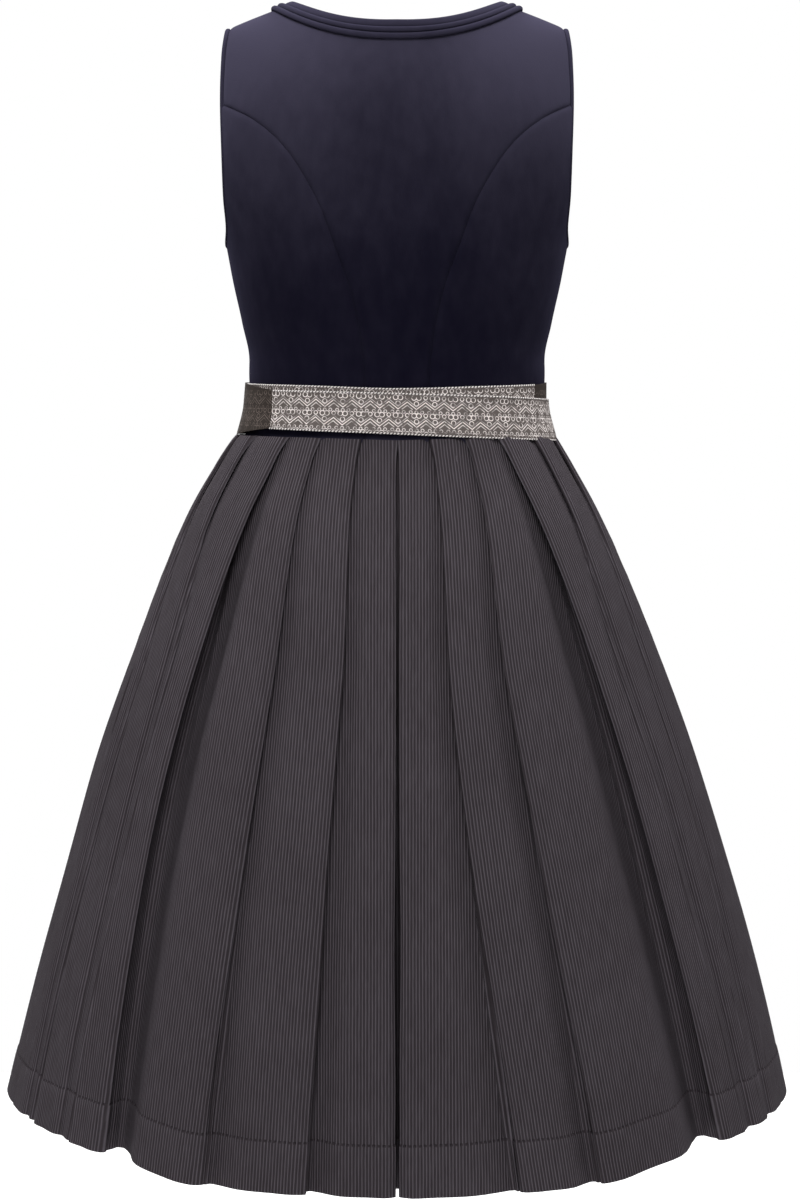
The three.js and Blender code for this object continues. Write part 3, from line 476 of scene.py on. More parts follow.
class Mesher:
    """Makes cloth and cord meshes by moving the points of new primitives."""

    smooth_sheet = math.radians(50)
    smooth_cord = math.radians(60)

    @staticmethod
    def deselect() -> None:
        """Deselect everything, because operators act on all that is selected."""
        for chosen in bpy.context.view_layer.objects:
            chosen.select_set(False)

    @classmethod
    def pick(cls, piece: Piece) -> None:
        """Make a piece the only selected and active object."""
        cls.deselect()
        piece.select_set(True)
        bpy.context.view_layer.objects.active = piece

    @classmethod
    def grid(cls, name: str, rows: list[list[Spot]]) -> Piece:
        """Make a sheet from rows of points.

        Args:
            name: The object's name.
            rows: The points and their cloth coordinates in metres, with equal rows.

        Returns:
            The new object, with its UV map in metres.
        """
        cls.deselect()
        high, wide = len(rows) - 1, len(rows[0]) - 1
        bpy.ops.mesh.primitive_grid_add(
            x_subdivisions=wide, y_subdivisions=high, size=1.0, location=(0, 0, 0)
        )
        piece = bpy.context.object
        piece.name = piece.data.name = name
        mesh = piece.data
        order = [(round((v.co.y + 0.5) * high), round((v.co.x + 0.5) * wide)) for v in mesh.vertices]
        for vertex, (i, j) in zip(mesh.vertices, order):
            vertex.co = rows[i][j][0]
        layer = mesh.uv_layers[0]
        layer.name = "cloth"
        for loop in mesh.loops:
            i, j = order[loop.vertex_index]
            layer.data[loop.index].uv = rows[i][j][1]
        mesh.update()
        return piece

    @classmethod
    def edit(cls, piece: Piece, *steps: Callable[[], object], chosen: str = "SELECT") -> None:
        """Run mesh operators on a piece, with all its points selected or none."""
        cls.pick(piece)
        bpy.ops.object.mode_set(mode="EDIT")
        bpy.ops.mesh.select_all(action=chosen)
        for step in steps:
            step()
        bpy.ops.object.mode_set(mode="OBJECT")

    @classmethod
    def join(cls, name: str, pieces: list[Piece], weld: float = FIRM_WELD) -> Piece:
        """Join pieces into one and weld the points that meet.

        Args:
            name: The joined object's name.
            pieces: The objects to join.
            weld: The greatest distance between points that become one, in metres.

        Returns:
            The joined object.
        """
        cls.pick(pieces[0])
        for piece in pieces[1:]:
            piece.select_set(True)
        if len(pieces) > 1:
            bpy.ops.object.join()
        joined = bpy.context.object
        joined.name = joined.data.name = name
        cls.edit(joined, lambda: bpy.ops.mesh.remove_doubles(threshold=weld))
        return joined

    @classmethod
    def face_out(cls, piece: Piece, away: Outwards) -> None:
        """Turn an open sheet over where its faces point against the direction that `away` gives."""
        cls.edit(piece, bpy.ops.mesh.normals_make_consistent)
        if sum(f.normal.dot(away(f.center)) * f.area for f in piece.data.polygons) < 0:
            cls.edit(piece, bpy.ops.mesh.flip_normals)

    @classmethod
    def thicken(cls, piece: Piece, wall: float, offset: float = -1.0) -> None:
        """Give a sheet its thickness and smooth shading.

        Args:
            piece: The sheet.
            wall: The thickness in millimetres.
            offset: -1 grows inwards, 0 both ways and 1 outwards.
        """
        cls.pick(piece)
        solidify = piece.modifiers.new("wall", "SOLIDIFY")
        solidify.thickness = wall * MM
        solidify.offset = offset
        solidify.use_rim = True
        bpy.ops.object.modifier_apply(modifier=solidify.name)
        bpy.ops.object.shade_smooth_by_angle(angle=cls.smooth_sheet)

    @classmethod
    def sheet(
        cls,
        name: str,
        rows: list[list[Spot]],
        wall: float,
        offset: float = -1.0,
        weld: float = EVEN_WELD,
        away: Outwards | None = outwards_from_axis,
    ) -> Piece:
        """Make a finished sheet from rows of points.

        Args:
            name: The object's name.
            rows: The points and their cloth coordinates.
            wall: The thickness in millimetres.
            offset: -1 grows inwards, 0 both ways and 1 outwards.
            weld: The greatest distance between points that become one, in metres.
            away: Gives the direction that counts as outwards, or None where both sides show.

        Returns:
            The sheet with its thickness.
        """
        piece = cls.join(name, [cls.grid(name, rows)], weld)
        if away:
            cls.face_out(piece, away)
        cls.thicken(piece, wall, offset)
        return piece

    @classmethod
    def tube(cls, name: str, rings: list[list[Vector]], closed: bool, girth: float) -> Piece:
        """Make a cord from rings of points.

        Args:
            name: The object's name.
            rings: The rings in order along the cord.
            closed: Whether the cord's end joins its start.
            girth: The length once round it, in metres.

        Returns:
            The new object.
        """
        rows = []
        run = 0.0
        order = [*rings, rings[0]] if closed else rings
        for i, points in enumerate(order):
            if i:
                run += (points[0] - order[i - 1][0]).length
            loop = [*points, points[0]]
            rows.append([(p, (run, girth * k / len(points))) for k, p in enumerate(loop)])
        piece = cls.join(name, [cls.grid(name, rows)])
        if not closed:
            ops = bpy.ops.mesh
            cls.edit(
                piece,
                lambda: ops.select_mode(type="EDGE"),
                ops.select_non_manifold,
                ops.edge_face_add,
                chosen="DESELECT",
            )
        cls.edit(piece, bpy.ops.mesh.normals_make_consistent)
        bpy.ops.object.shade_smooth_by_angle(angle=cls.smooth_cord)
        return piece


def finish_piece(piece: Piece, material: Material, nodes: Sequence[str]) -> None:
    """Dress a piece, attach it to the root and hide the nodes of the frame that it replaces.

    Args:
        piece: The finished object.
        material: Its material.
        nodes: The nodes of the frame that it replaces.
    """
    piece.data.materials.clear()
    piece.data.materials.append(material)
    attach(piece, "root")
    if nodes:
        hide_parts(*nodes)
    area = sum(f.area for f in piece.data.polygons) / 2
    LOG.info("%s: %d faces, %.4f square metres a side", piece.name, len(piece.data.polygons), area)


class Nodes:
    """Short ways to lay out a material's nodes."""

    def __init__(self, name: str) -> None:
        """Start a material with an empty node tree and a Principled shader."""
        self.material = bpy.data.materials.new(name)
        self.material.use_nodes = True
        self.tree = self.material.node_tree
        self.tree.nodes.clear()
        self.shader = self.add("ShaderNodeBsdfPrincipled")
        self.wire(self.shader.outputs[0], self.add("ShaderNodeOutputMaterial").inputs["Surface"])

    def add(self, kind: str, **settings: object) -> bpy.types.Node:
        """Add a node and set its properties."""
        node = self.tree.nodes.new(kind)
        for name, value in settings.items():
            setattr(node, name, value)
        return node

    def wire(self, source: Socket, target: Socket) -> None:
        """Join two sockets."""
        self.tree.links.new(source, target)

    def feed(self, node: bpy.types.Node, **values: object) -> bpy.types.Node:
        """Set inputs, named with _ for a space, to numbers, colours or other sockets' outputs."""
        for name, value in values.items():
            self.put(node.inputs[name.replace("_", " ")], value)
        return node

    def put(self, target: Socket, value: object) -> None:
        """Set a socket to a number, a colour or another socket's output."""
        if isinstance(value, Socket):
            self.wire(value, target)
        else:
            target.default_value = value

    def math(self, operation: str, *values: object) -> Socket:
        """Return the output of a Math node."""
        node = self.add("ShaderNodeMath", operation=operation)
        for socket, value in zip(node.inputs, values):
            self.put(socket, value)
        return node.outputs[0]

    def gap(self, value: object, other: object) -> Socket:
        """Return the distance between two values."""
        return self.math("ABSOLUTE", self.math("SUBTRACT", value, other))

    def stir(self, tone: object, noise: Socket, amount: float) -> Socket:
        """Return a tone that a noise moves both ways."""
        return self.math("MULTIPLY_ADD", self.math("SUBTRACT", noise, 0.5), amount, tone)

    def sine(self, place: Socket, pitch: float) -> Socket:
        """Return a wave from -1 to 1 along a place."""
        return self.math("SINE", self.math("MULTIPLY", place, CIRCLE / pitch))

    def wave(self, place: Socket, pitch: float) -> Socket:
        """Return a wave from 0 to 1 along a place."""
        return self.math("MULTIPLY_ADD", self.sine(place, pitch), 0.5, 0.5)

    def blend(self, share: object, first: Colour, second: Colour) -> Socket:
        """Return a colour between two."""
        node = self.add("ShaderNodeMix", data_type="RGBA")
        self.put(node.inputs["Factor"], share)
        for name, colour in (("A", first), ("B", second)):
            socket = next(s for s in node.inputs if s.name == name and s.type == "RGBA")
            socket.default_value = (*colour, 1.0)
        return next(s for s in node.outputs if s.type == "RGBA")

    def ramp(self, value: object, low: float, high: float) -> Socket:
        """Return a soft step from 0 at low to 1 at high."""
        node = self.add("ShaderNodeMapRange", interpolation_type="SMOOTHSTEP")
        return self.feed(node, Value=value, From_Min=low, From_Max=high).outputs["Result"]

    def noise(self, vector: Socket, scale: float, detail: float = 3.0) -> Socket:
        """Return a noise value around one half."""
        node = self.add("ShaderNodeTexNoise")
        return self.feed(node, Vector=vector, Scale=scale, Detail=detail).outputs["Fac"]

    def stretched(self, vector: Socket, stretch: Three) -> Socket:
        """Return a vector scaled along each axis."""
        node = self.add("ShaderNodeMapping")
        return self.feed(node, Vector=vector, Scale=stretch).outputs["Vector"]

    def object_point(self, upright: float = 1.0) -> Socket:
        """Return Object coordinates, stretched along the upright axis."""
        place = self.add("ShaderNodeTexCoord").outputs["Object"]
        return self.stretched(place, (1.0, 1.0, upright))

    def split(self, vector: Socket) -> bpy.types.NodeOutputs:
        """Return the three parts of a vector."""
        return self.feed(self.add("ShaderNodeSeparateXYZ"), Vector=vector).outputs

    def cloth_point(self) -> tuple[Socket, Socket, Socket]:
        """Return the cloth coordinates in metres: the vector, along and across."""
        vector = self.add("ShaderNodeUVMap", uv_map="cloth").outputs[0]
        parts = self.split(vector)
        return vector, parts["X"], parts["Y"]

    def surface(self, colour: Socket, rough: object, shine: float = 0.5) -> None:
        """Set the shader's colour, roughness and shine."""
        self.feed(self.shader, Base_Color=colour, Roughness=rough, Specular_IOR_Level=shine)

    def bump(self, *layers: tuple[Socket, float, float]) -> None:
        """Stack height layers into the shader's normal, each with its strength and depth."""
        normal = None
        for height, strength, depth in layers:
            node = self.feed(self.add("ShaderNodeBump"), Height=height, Strength=strength, Distance=depth)
            if normal is not None:
                self.wire(normal, node.inputs["Normal"])
            normal = node.outputs["Normal"]
        self.wire(normal, self.shader.inputs["Normal"])


@dataclass(frozen=True)
class Velvet:
    """Deep navy velvet with a short nap that turns pale at grazing light.

    Its colour carries painted light: it is painted paler from the waist up to the shoulders and towards
    the sides of the back, as light from above would make it, and painted lighter just above the waist
    seam, where the belt's shade falls.
    """

    name: str = "navy_velvet"
    pile: Colour = (0.0052, 0.0047, 0.0112)
    # The palest colour, reached where the painted light is full.
    lit: Colour = (0.0415, 0.0380, 0.0610)
    sheen: float = 0.06
    sheen_tint: Colour = (0.50, 0.48, 0.75)
    # Heights over which the painted light from above rises, in metres.
    painted_light_heights: Two = (-0.42, 0.03)
    # Heights of the painted light that lifts the belt's shade just above the waist seam.
    painted_waist_light_heights: Two = (-0.362, -0.374)
    # Width over which the painted light grows towards the sides of the back, in metres.
    painted_side_light_width: float = 0.13

    def build(self) -> Material:
        """Return the material."""
        n = Nodes(self.name)
        broad = n.noise(n.object_point(0.8), 9.0, 4.0)
        brushed = n.noise(n.object_point(0.5), 90.0, 5.0)
        nap = n.math("ADD", n.math("MULTIPLY", broad, 0.6), n.math("MULTIPLY", brushed, 0.4))
        place = n.split(n.object_point())
        # Painted light from above: the colour grows paler with height, up to the shoulders.
        rise = n.math("POWER", n.ramp(place["Z"], *self.painted_light_heights), 2.4)
        # Painted light on the shoulders: paler towards the sides of the back, darker at the centre back.
        outer = n.ramp(n.math("ABSOLUTE", place["X"]), 0.0, self.painted_side_light_width)
        rise = n.math("MULTIPLY", rise, n.math("MULTIPLY_ADD", outer, 0.28, 0.74))
        rise = n.math("MULTIPLY_ADD", outer, 0.05, rise)
        # Painted light just above the waist seam, lifting the shade under the belt.
        rise = n.math("MULTIPLY_ADD", n.ramp(place["Z"], *self.painted_waist_light_heights), 1.1, rise)
        tone = n.stir(rise, nap, 0.75)
        n.surface(n.blend(n.ramp(tone, -0.1, 1.0), self.pile, self.lit), 1.0, 0.0)
        n.feed(
            n.shader, Sheen_Weight=self.sheen, Sheen_Roughness=0.5, Sheen_Tint=(*self.sheen_tint, 1.0)
        )
        fibre = n.noise(n.object_point(0.6), 900.0, 2.0)
        n.bump((brushed, 0.25, 0.0006), (fibre, 0.35, 0.0003))
        return n.material


@dataclass(frozen=True)
class RibbedCloth:
    """Charcoal cloth with fine cords running down it and a stitched hem."""

    name: str = "ribbed_cloth"
    pitch: float = 0.0027
    weft_pitch: float = 0.0011
    crest: Colour = (0.1060, 0.0940, 0.1080)
    trough: Colour = (0.0330, 0.0272, 0.0310)
    hem_line: float = 0.5894
    stitch: float = 0.0042
    stitch_band: Two = (0.0013, 0.0006)

    def build(self) -> Material:
        """Return the material."""
        n = Nodes(self.name)
        vector, along, down = n.cloth_point()
        swayed = n.stir(along, n.noise(vector, 45.0, 2.0), 0.0005)
        rib = n.math("POWER", n.wave(swayed, self.pitch), 2.0)
        streak = n.noise(n.stretched(vector, (1.0, 0.12, 1.0)), 420.0)
        broad = n.noise(vector, 9.0)
        tone = n.stir(n.stir(rib, streak, 0.7), broad, 0.35)
        dash = n.ramp(n.sine(along, self.stitch), -0.6, 0.4)
        seam = n.math("MULTIPLY", n.ramp(n.gap(down, self.hem_line), *self.stitch_band), dash)
        tone = n.math("MULTIPLY_ADD", seam, -0.8, tone)
        n.surface(n.blend(n.ramp(tone, -0.15, 1.2), self.trough, self.crest), 0.85, 0.04)
        weft = n.wave(down, self.weft_pitch)
        pressed = n.math("SUBTRACT", 1.0, seam)
        n.bump((broad, 0.2, 0.002), (weft, 0.1, 0.0001), (rib, 0.8, 0.0008), (pressed, 0.8, 0.001))
        return n.material


@dataclass(frozen=True)
class Jacquard:
    """Satin-figured cloth: a lattice of pointed arches with a small scroll in each opening.

    Each slope is a strength, a height, and how far it runs from the middle of the repeat. Each
    scroll is a strength, its place in the repeat and its radius.
    """

    name: str
    ground: Colour
    figure: Colour
    gloss: float = 0.5
    wide: float = 0.0157
    tall: float = 0.0157
    foot: float = 0.0121
    line: float = 0.00042
    lean: float = -0.80
    twill: float = 0.0009
    # Where the painted shade along the edges starts and is full, measured from the middle, in metres.
    selvedge: Two = (0.0138, 0.0172)
    slopes: tuple[Three, ...] = ((1, 0.44, 0.5), (0.60, 0.26, 0.30), (0.45, 0.58, 0.5))
    scrolls: tuple[Four, ...] = (
        (0.90, 0.37, 0.68, 0.13),
        (0.75, 0.5, 0.36, 0.12),
        (0.65, 0.5, 0.88, 0.08),
        (0.60, 0.19, 0.88, 0.08),
        (0.80, 0.0, 0.70, 0.10),
    )

    def build(self) -> Material:
        """Return the material."""
        n = Nodes(self.name)
        vector, along, across = n.cloth_point()
        side = n.gap(n.math("FRACT", n.math("DIVIDE", along, self.wide)), 0.5)
        up = n.math("FRACT", n.math("DIVIDE", n.math("ADD", across, self.foot), self.tall))
        parts = [(row[0], self._slope(n, side, up, *row[1:])) for row in self.slopes]
        parts += [(row[0], self._scroll(n, side, up, *row[1:])) for row in self.scrolls]
        figure = parts[0][1]
        for strength, part in parts[1:]:
            figure = n.math("MAXIMUM", figure, n.math("MULTIPLY", part, strength))
        worn = n.ramp(n.noise(vector, 160.0, 2.0), 0.2, 0.6)
        tone = n.stir(n.math("MULTIPLY", figure, worn), n.noise(vector, 1500.0, 2.0), 0.5)
        # Painted shade: the ground is darkened along both long edges, beside the edge cords.
        shaded = n.ramp(n.math("ABSOLUTE", across), *self.selvedge)
        tone = n.math("MULTIPLY_ADD", shaded, -0.5, tone)
        n.surface(n.blend(n.ramp(tone, -0.05, 0.85), self.ground, self.figure), self.gloss, 0.25)
        n.bump((n.sine(n.math("ADD", along, across), self.twill), 0.12, 0.0001), (figure, 0.35, 0.0003))
        return n.material

    def _slope(self, n: Nodes, side: Socket, up: Socket, start: float, reach: float) -> Socket:
        """Return a pair of slanting lines from the middle: 1 on the line and 0 beside it."""
        away = n.gap(up, n.math("MULTIPLY_ADD", side, self.lean, start))
        line = self._stroke(n, n.math("MULTIPLY", away, self.tall / math.hypot(1, self.lean * 1.13)))
        return n.math("MULTIPLY", line, n.math("LESS_THAN", side, reach))

    def _scroll(self, n: Nodes, side: Socket, up: Socket, x: float, y: float, radius: float) -> Socket:
        """Return a small scroll: 1 on a ring's line and 0 beside it."""
        dx = n.math("MULTIPLY", n.math("SUBTRACT", side, x), self.wide)
        dy = n.math("MULTIPLY", n.math("SUBTRACT", up, y), self.tall)
        far = n.math("SQRT", n.math("ADD", n.math("MULTIPLY", dx, dx), n.math("MULTIPLY", dy, dy)))
        return self._stroke(n, n.gap(far, radius * self.wide))

    def _stroke(self, n: Nodes, distance: Socket) -> Socket:
        """Return a soft line from the distance to it."""
        return n.math("SUBTRACT", 1.0, n.ramp(distance, self.line * 0.4, self.line * 1.3))


@dataclass(frozen=True)
class TwistedEdge:
    """Bright cord with strands that wind round it, with painted shade in the grooves between them."""

    name: str = "silver_cord"
    strand: Colour = (0.88, 0.82, 0.80)
    groove_shade: Colour = (0.06, 0.050, 0.047)
    lay: float = 0.0030
    girth: float = 0.0060

    def build(self) -> Material:
        """Return the material."""
        n = Nodes(self.name)
        _, along, around = n.cloth_point()
        turn = n.math("ADD", n.math("DIVIDE", along, self.lay), n.math("DIVIDE", around, self.girth))
        wave = n.wave(turn, 1.0)
        # Painted shade: the colour turns dark in the grooves between the strands.
        n.surface(n.blend(n.ramp(wave, 0.1, 0.7), self.groove_shade, self.strand), 0.4)
        n.bump((wave, 0.8, 0.0006))
        return n.material


@dataclass(frozen=True)
class SatinStripe:
    """Apron cloth: fine satin stripes in taupe."""

    name: str = "apron_cloth"
    light: Colour = (0.155, 0.130, 0.118)
    dark: Colour = (0.072, 0.058, 0.052)
    pitch: float = 0.009

    def build(self) -> Material:
        """Return the material."""
        n = Nodes(self.name)
        vector, along, _ = n.cloth_point()
        stripe = n.ramp(n.sine(along, self.pitch), -0.35, 0.35)
        threads = n.noise(vector, 1300.0, 2.0)
        colour = n.blend(n.stir(stripe, threads, 0.3), self.dark, self.light)
        n.surface(colour, n.math("MULTIPLY_ADD", stripe, -0.2, 0.6))
        n.bump((threads, 0.12, 0.0002), (stripe, 0.15, 0.0002))
        return n.material


@dataclass(frozen=True)
class AgedSilver:
    """Dull silver of the buttons, dark in its hollows."""

    name: str = "aged_silver"
    bright: Colour = (0.48, 0.46, 0.43)
    dark: Colour = (0.06, 0.055, 0.05)

    def build(self) -> Material:
        """Return the material."""
        n = Nodes(self.name)
        wear = n.noise(n.object_point(), 320.0, 4.0)
        colour = n.blend(n.ramp(wear, 0.32, 0.6), self.dark, self.bright)
        n.surface(colour, n.math("MULTIPLY_ADD", wear, 0.3, 0.25))
        n.feed(n.shader, Metallic=0.9)
        n.bump((wear, 0.3, 0.0003))
        return n.material


class Wardrobe:
    """The finishes, built once."""

    def __init__(self) -> None:
        """Build every material."""
        self.velvet = Velvet().build()
        # The trim's velvet gets the same painted light, in darker colours.
        self.trim = Velvet("velvet_trim", (0.0050, 0.0046, 0.0100), (0.0300, 0.0275, 0.0460)).build()
        self.ribbed = RibbedCloth().build()
        self.silver = Jacquard("silver_jacquard", (0.118, 0.098, 0.091), (0.98, 0.90, 0.87)).build()
        self.taupe = Jacquard("taupe_jacquard", (0.030, 0.022, 0.018), (0.130, 0.102, 0.090), 0.7).build()
        self.edge = TwistedEdge().build()
        self.apron = SatinStripe().build()
        self.metal = AgedSilver().build()


class Side(Enum):
    """The wearer's left or right."""

    LEFT = 1
    RIGHT = -1

    @property
    def word(self) -> str:
        """Return the side's word, as the nodes' names have it."""
        return self.name.lower()

    def turn(self, point: Vector) -> Vector:
        """Return a point of the left half on this side."""
        return Vector((point.x * self.value, point.y, point.z))


@dataclass
class Bodice:
    """The velvet bodice: seven panels with curved seams."""

    cut: BodiceCut
    cloth: Wardrobe
    wall: float = 1.6
    seam_dip: float = 2.3
    seam_width: float = 2.4
    tuck_dip: float = 0.6
    tuck_width: float = 0.9
    up: tuple[float, ...] = tuple(shares(64))

    def build(self) -> None:
        """Make all the panels."""
        self.build_back()
        for side in Side:
            self.build_side(side, False)
            self.build_side(side, True)
            self.build_front(side)

    def lay(
        self, name: str, grids: list[tuple[list[list[Place]], Side]], seams: tuple[bool, bool, bool]
    ) -> Piece:
        """Make a panel whose sewn edges dip into their seams.

        Args:
            name: The panel's name.
            grids: The places of each part, with the side that it lies on.
            seams: Whether the start of each row and its end are sewn, and whether its start is
                tucked under the neighbour.

        Returns:
            The panel, open at its edges, before it gets its thickness.
        """
        parts = []
        for places, side in grids:
            rows = []
            for row in places:
                skins = [self.cut.skin(place) for place in row]
                ends = [end for end, sewn in ((skins[0], seams[0]), (skins[-1], seams[1])) if sewn]
                spots = []
                for place, skin in zip(row, skins):
                    gaps = [(skin - end).length for end in ends]
                    dip = self.seam_dip * bell(min(gaps), self.seam_width, 1.3)
                    if seams[2]:
                        dip += self.tuck_dip * bell(gaps[0], self.tuck_width)
                    point = side.turn(self.cut.point(place, -dip + self.ripple(skin)))
                    spots.append((point, (skin.x * MM, skin.z * MM)))
                rows.append(spots)
            parts.append(Mesher.grid(name, rows))
        panel = Mesher.join(name, parts)
        Mesher.face_out(panel, outwards_from_axis)
        return panel

    def ripple(self, at: Vector) -> float:
        """Return how far the velvet stands off its form at a point, in millimetres."""
        low = ease(1 - at.z / 150)
        high = ease((at.z - 150) / 120)
        soft = 0.35 * math.sin(at.x / 17 + at.z / 31) * math.sin(at.z / 23 - at.x / 41 + at.y / 37)
        pull = 0.45 * low * math.sin(at.z / 7.5 + at.x / 22) * bell(at.z - 70, 42)
        comb = math.sin(at.x / 2.9) * math.sin(at.x / 11 + 0.7) * bell(at.z - 55, 17)
        return soft * (0.5 + 0.5 * high) + pull + 0.22 * comb

    def dress(self, panel: Piece) -> None:
        """Thicken a panel and dress it."""
        Mesher.thicken(panel, self.wall)
        finish_piece(panel, self.cloth.velvet, [panel.name.removesuffix("_cloth")])

    @staticmethod
    def across(count: int, sewn_start: bool = True) -> list[float]:
        """Return shares across a row, close together beside its sewn edges."""
        fine = (0.0, 0.008, 0.018, 0.032, 0.055)
        start = fine if sewn_start else (0.0, 0.045)
        middle = [mix(0.09, 0.91, share) for share in shares(count - 1)]
        return [*start, *middle, *(1 - f for f in reversed(fine))]

    def build_back(self) -> None:
        """Make the centre back, which runs up to both shoulders."""
        cut = self.cut
        centre = straight((0.0, 0.0), (0.0, cut.back_neck(0)[1]))
        top, low = cut.back_princess.at[-1], cut.armholes.at[-1]
        places = patch(
            chain(centre, cut.back_neck, 10 / 16),
            chain(cut.back_seam, cut.armhole(top, low, False), 11 / 16),
            self.across(18, False),
            self.up,
        )
        grids = [(places, side) for side in Side]
        panel = self.lay("back_cloth", grids, (False, True, False))
        self.dress(panel)

    def build_side(self, side: Side, front: bool) -> None:
        """Make the panel between a curved seam and the side seam."""
        cut = self.cut
        seam = cut.front_seam if front else cut.back_seam
        table = cut.front_princess if front else cut.back_princess
        low = cut.armholes.at[0]
        edge = cut.armhole(low, table.at[-1], front)
        places = patch(
            seam,
            straight((QUARTER, 0.0), (QUARTER, low / cut.roll_h)),
            [-0.009, *self.across(16)],
            self.up,
            top=lambda u: edge(1 - u),
        )
        name = f"side_{'front' if front else 'back'}_{side.word}_cloth"
        panel = self.lay(name, [(places, side)], (True, True, True))
        self.dress(panel)

    def build_front(self, side: Side) -> None:
        """Make one centre front, from the closure to the shoulder."""
        cut = self.cut
        centre = straight((math.pi, 0.0), (math.pi, cut.front_neck_h / cut.roll_h))
        places = patch(
            chain(centre, cut.front_neck, 8 / 17),
            chain(
                cut.front_seam,
                cut.armhole(cut.front_princess.at[-1], cut.armholes.at[-1], True),
                12 / 17,
            ),
            self.across(16),
            self.up,
        )
        panel = self.lay(f"front_{side.word}_cloth", [(places, side)], (False, True, False))
        self.dress(panel)


def cord_rings(
    cut: TorsoForm, run: list[Place], half: Two, lift: float, closed: bool = False
) -> list[list[Vector]]:
    """Return the rings of a cord that lies on the form.

    Args:
        cut: The form.
        run: The cord's places in order.
        half: Half its width along the form and half its height off it, in millimetres.
        lift: How far its middle is off the form.
        closed: Whether its end joins its start.

    Returns:
        The rings, in metres.
    """
    points = [cut.point(place, lift) for place in run]
    rings = []
    for i, point in enumerate(points):
        up = cut.normal(run[i])
        across = up.cross(heading(points, i, closed)).normalized()
        rings.append(ring(point, across * (half[0] * MM), up * (half[1] * MM), 12, 0.5))
    return rings


@dataclass
class Neckline:
    """The flat band round the neckline with two corded rolls beside it."""

    cut: BodiceCut
    cloth: Wardrobe
    band: tuple[Place, ...] = (
        (-0.6, -1.2), (-0.5, 0.6), (0.6, 1.6), (2.5, 1.9), (5.2, 1.9), (7.0, 1.5), (7.9, 0.2)
    )
    band_shift: float = 0.2
    wall: float = 0.8
    cord_half: Two = (2.9, 2.3)
    cord_lift: float = 1.7
    cord_girth: float = 0.016
    cord_places: tuple[tuple[str, float], ...] = (("inner", 11.0), ("outer", 17.0))
    steps: int = 90

    def build(self) -> None:
        """Make the band and both cords."""
        rows = []
        for inset, out in self.band:
            run = self.cut.neck_run(inset + self.band_shift, self.steps)
            rows.append([(self.cut.point(place, out), (0.0, 0.0)) for place in run])
        above = Vector((0, 0, 0.1))
        band = Mesher.sheet(
            "neck_band_cloth", rows, self.wall, weld=FIRM_WELD, away=lambda point: point + above
        )
        finish_piece(band, self.cloth.trim, ["neck_band"])
        for name, inset in self.cord_places:
            run = self.cut.neck_run(inset, self.steps)
            rings = cord_rings(self.cut, run, self.cord_half, self.cord_lift)
            cord = Mesher.tube(f"neck_cord_{name}_roll", rings, False, self.cord_girth)
            finish_piece(cord, self.cloth.trim, [f"neck_cord_{name}"])


@dataclass
class ArmholePiping:
    """The corded edge round each armhole."""

    cut: BodiceCut
    cloth: Wardrobe
    radius: float = 2.1
    sink: float = 1.4
    girth: float = 0.015
    steps: int = 60

    def build(self) -> None:
        """Make the piping on both sides."""
        cut = self.cut
        low, high = cut.armholes.at[0], cut.armholes.at[-1]
        back, front = cut.armhole(low, high, False), cut.armhole(low, high, True)
        loop = [back(i / self.steps) for i in range(self.steps)]
        loop.append((front(1.0)[0], 2.0))
        loop += [front(1 - i / self.steps) for i in range(1, self.steps)]
        run = cut.beside(loop, self.radius - 1.0, closed=True)
        rings = cord_rings(cut, run, (self.radius, self.radius), -self.sink, True)
        for side in Side:
            turned = [[side.turn(p) for p in points] for points in rings]
            piping = Mesher.tube(f"armhole_piping_{side.word}_cord", turned, True, self.girth)
            finish_piece(piping, self.cloth.trim, [f"armhole_piping_{side.word}"])


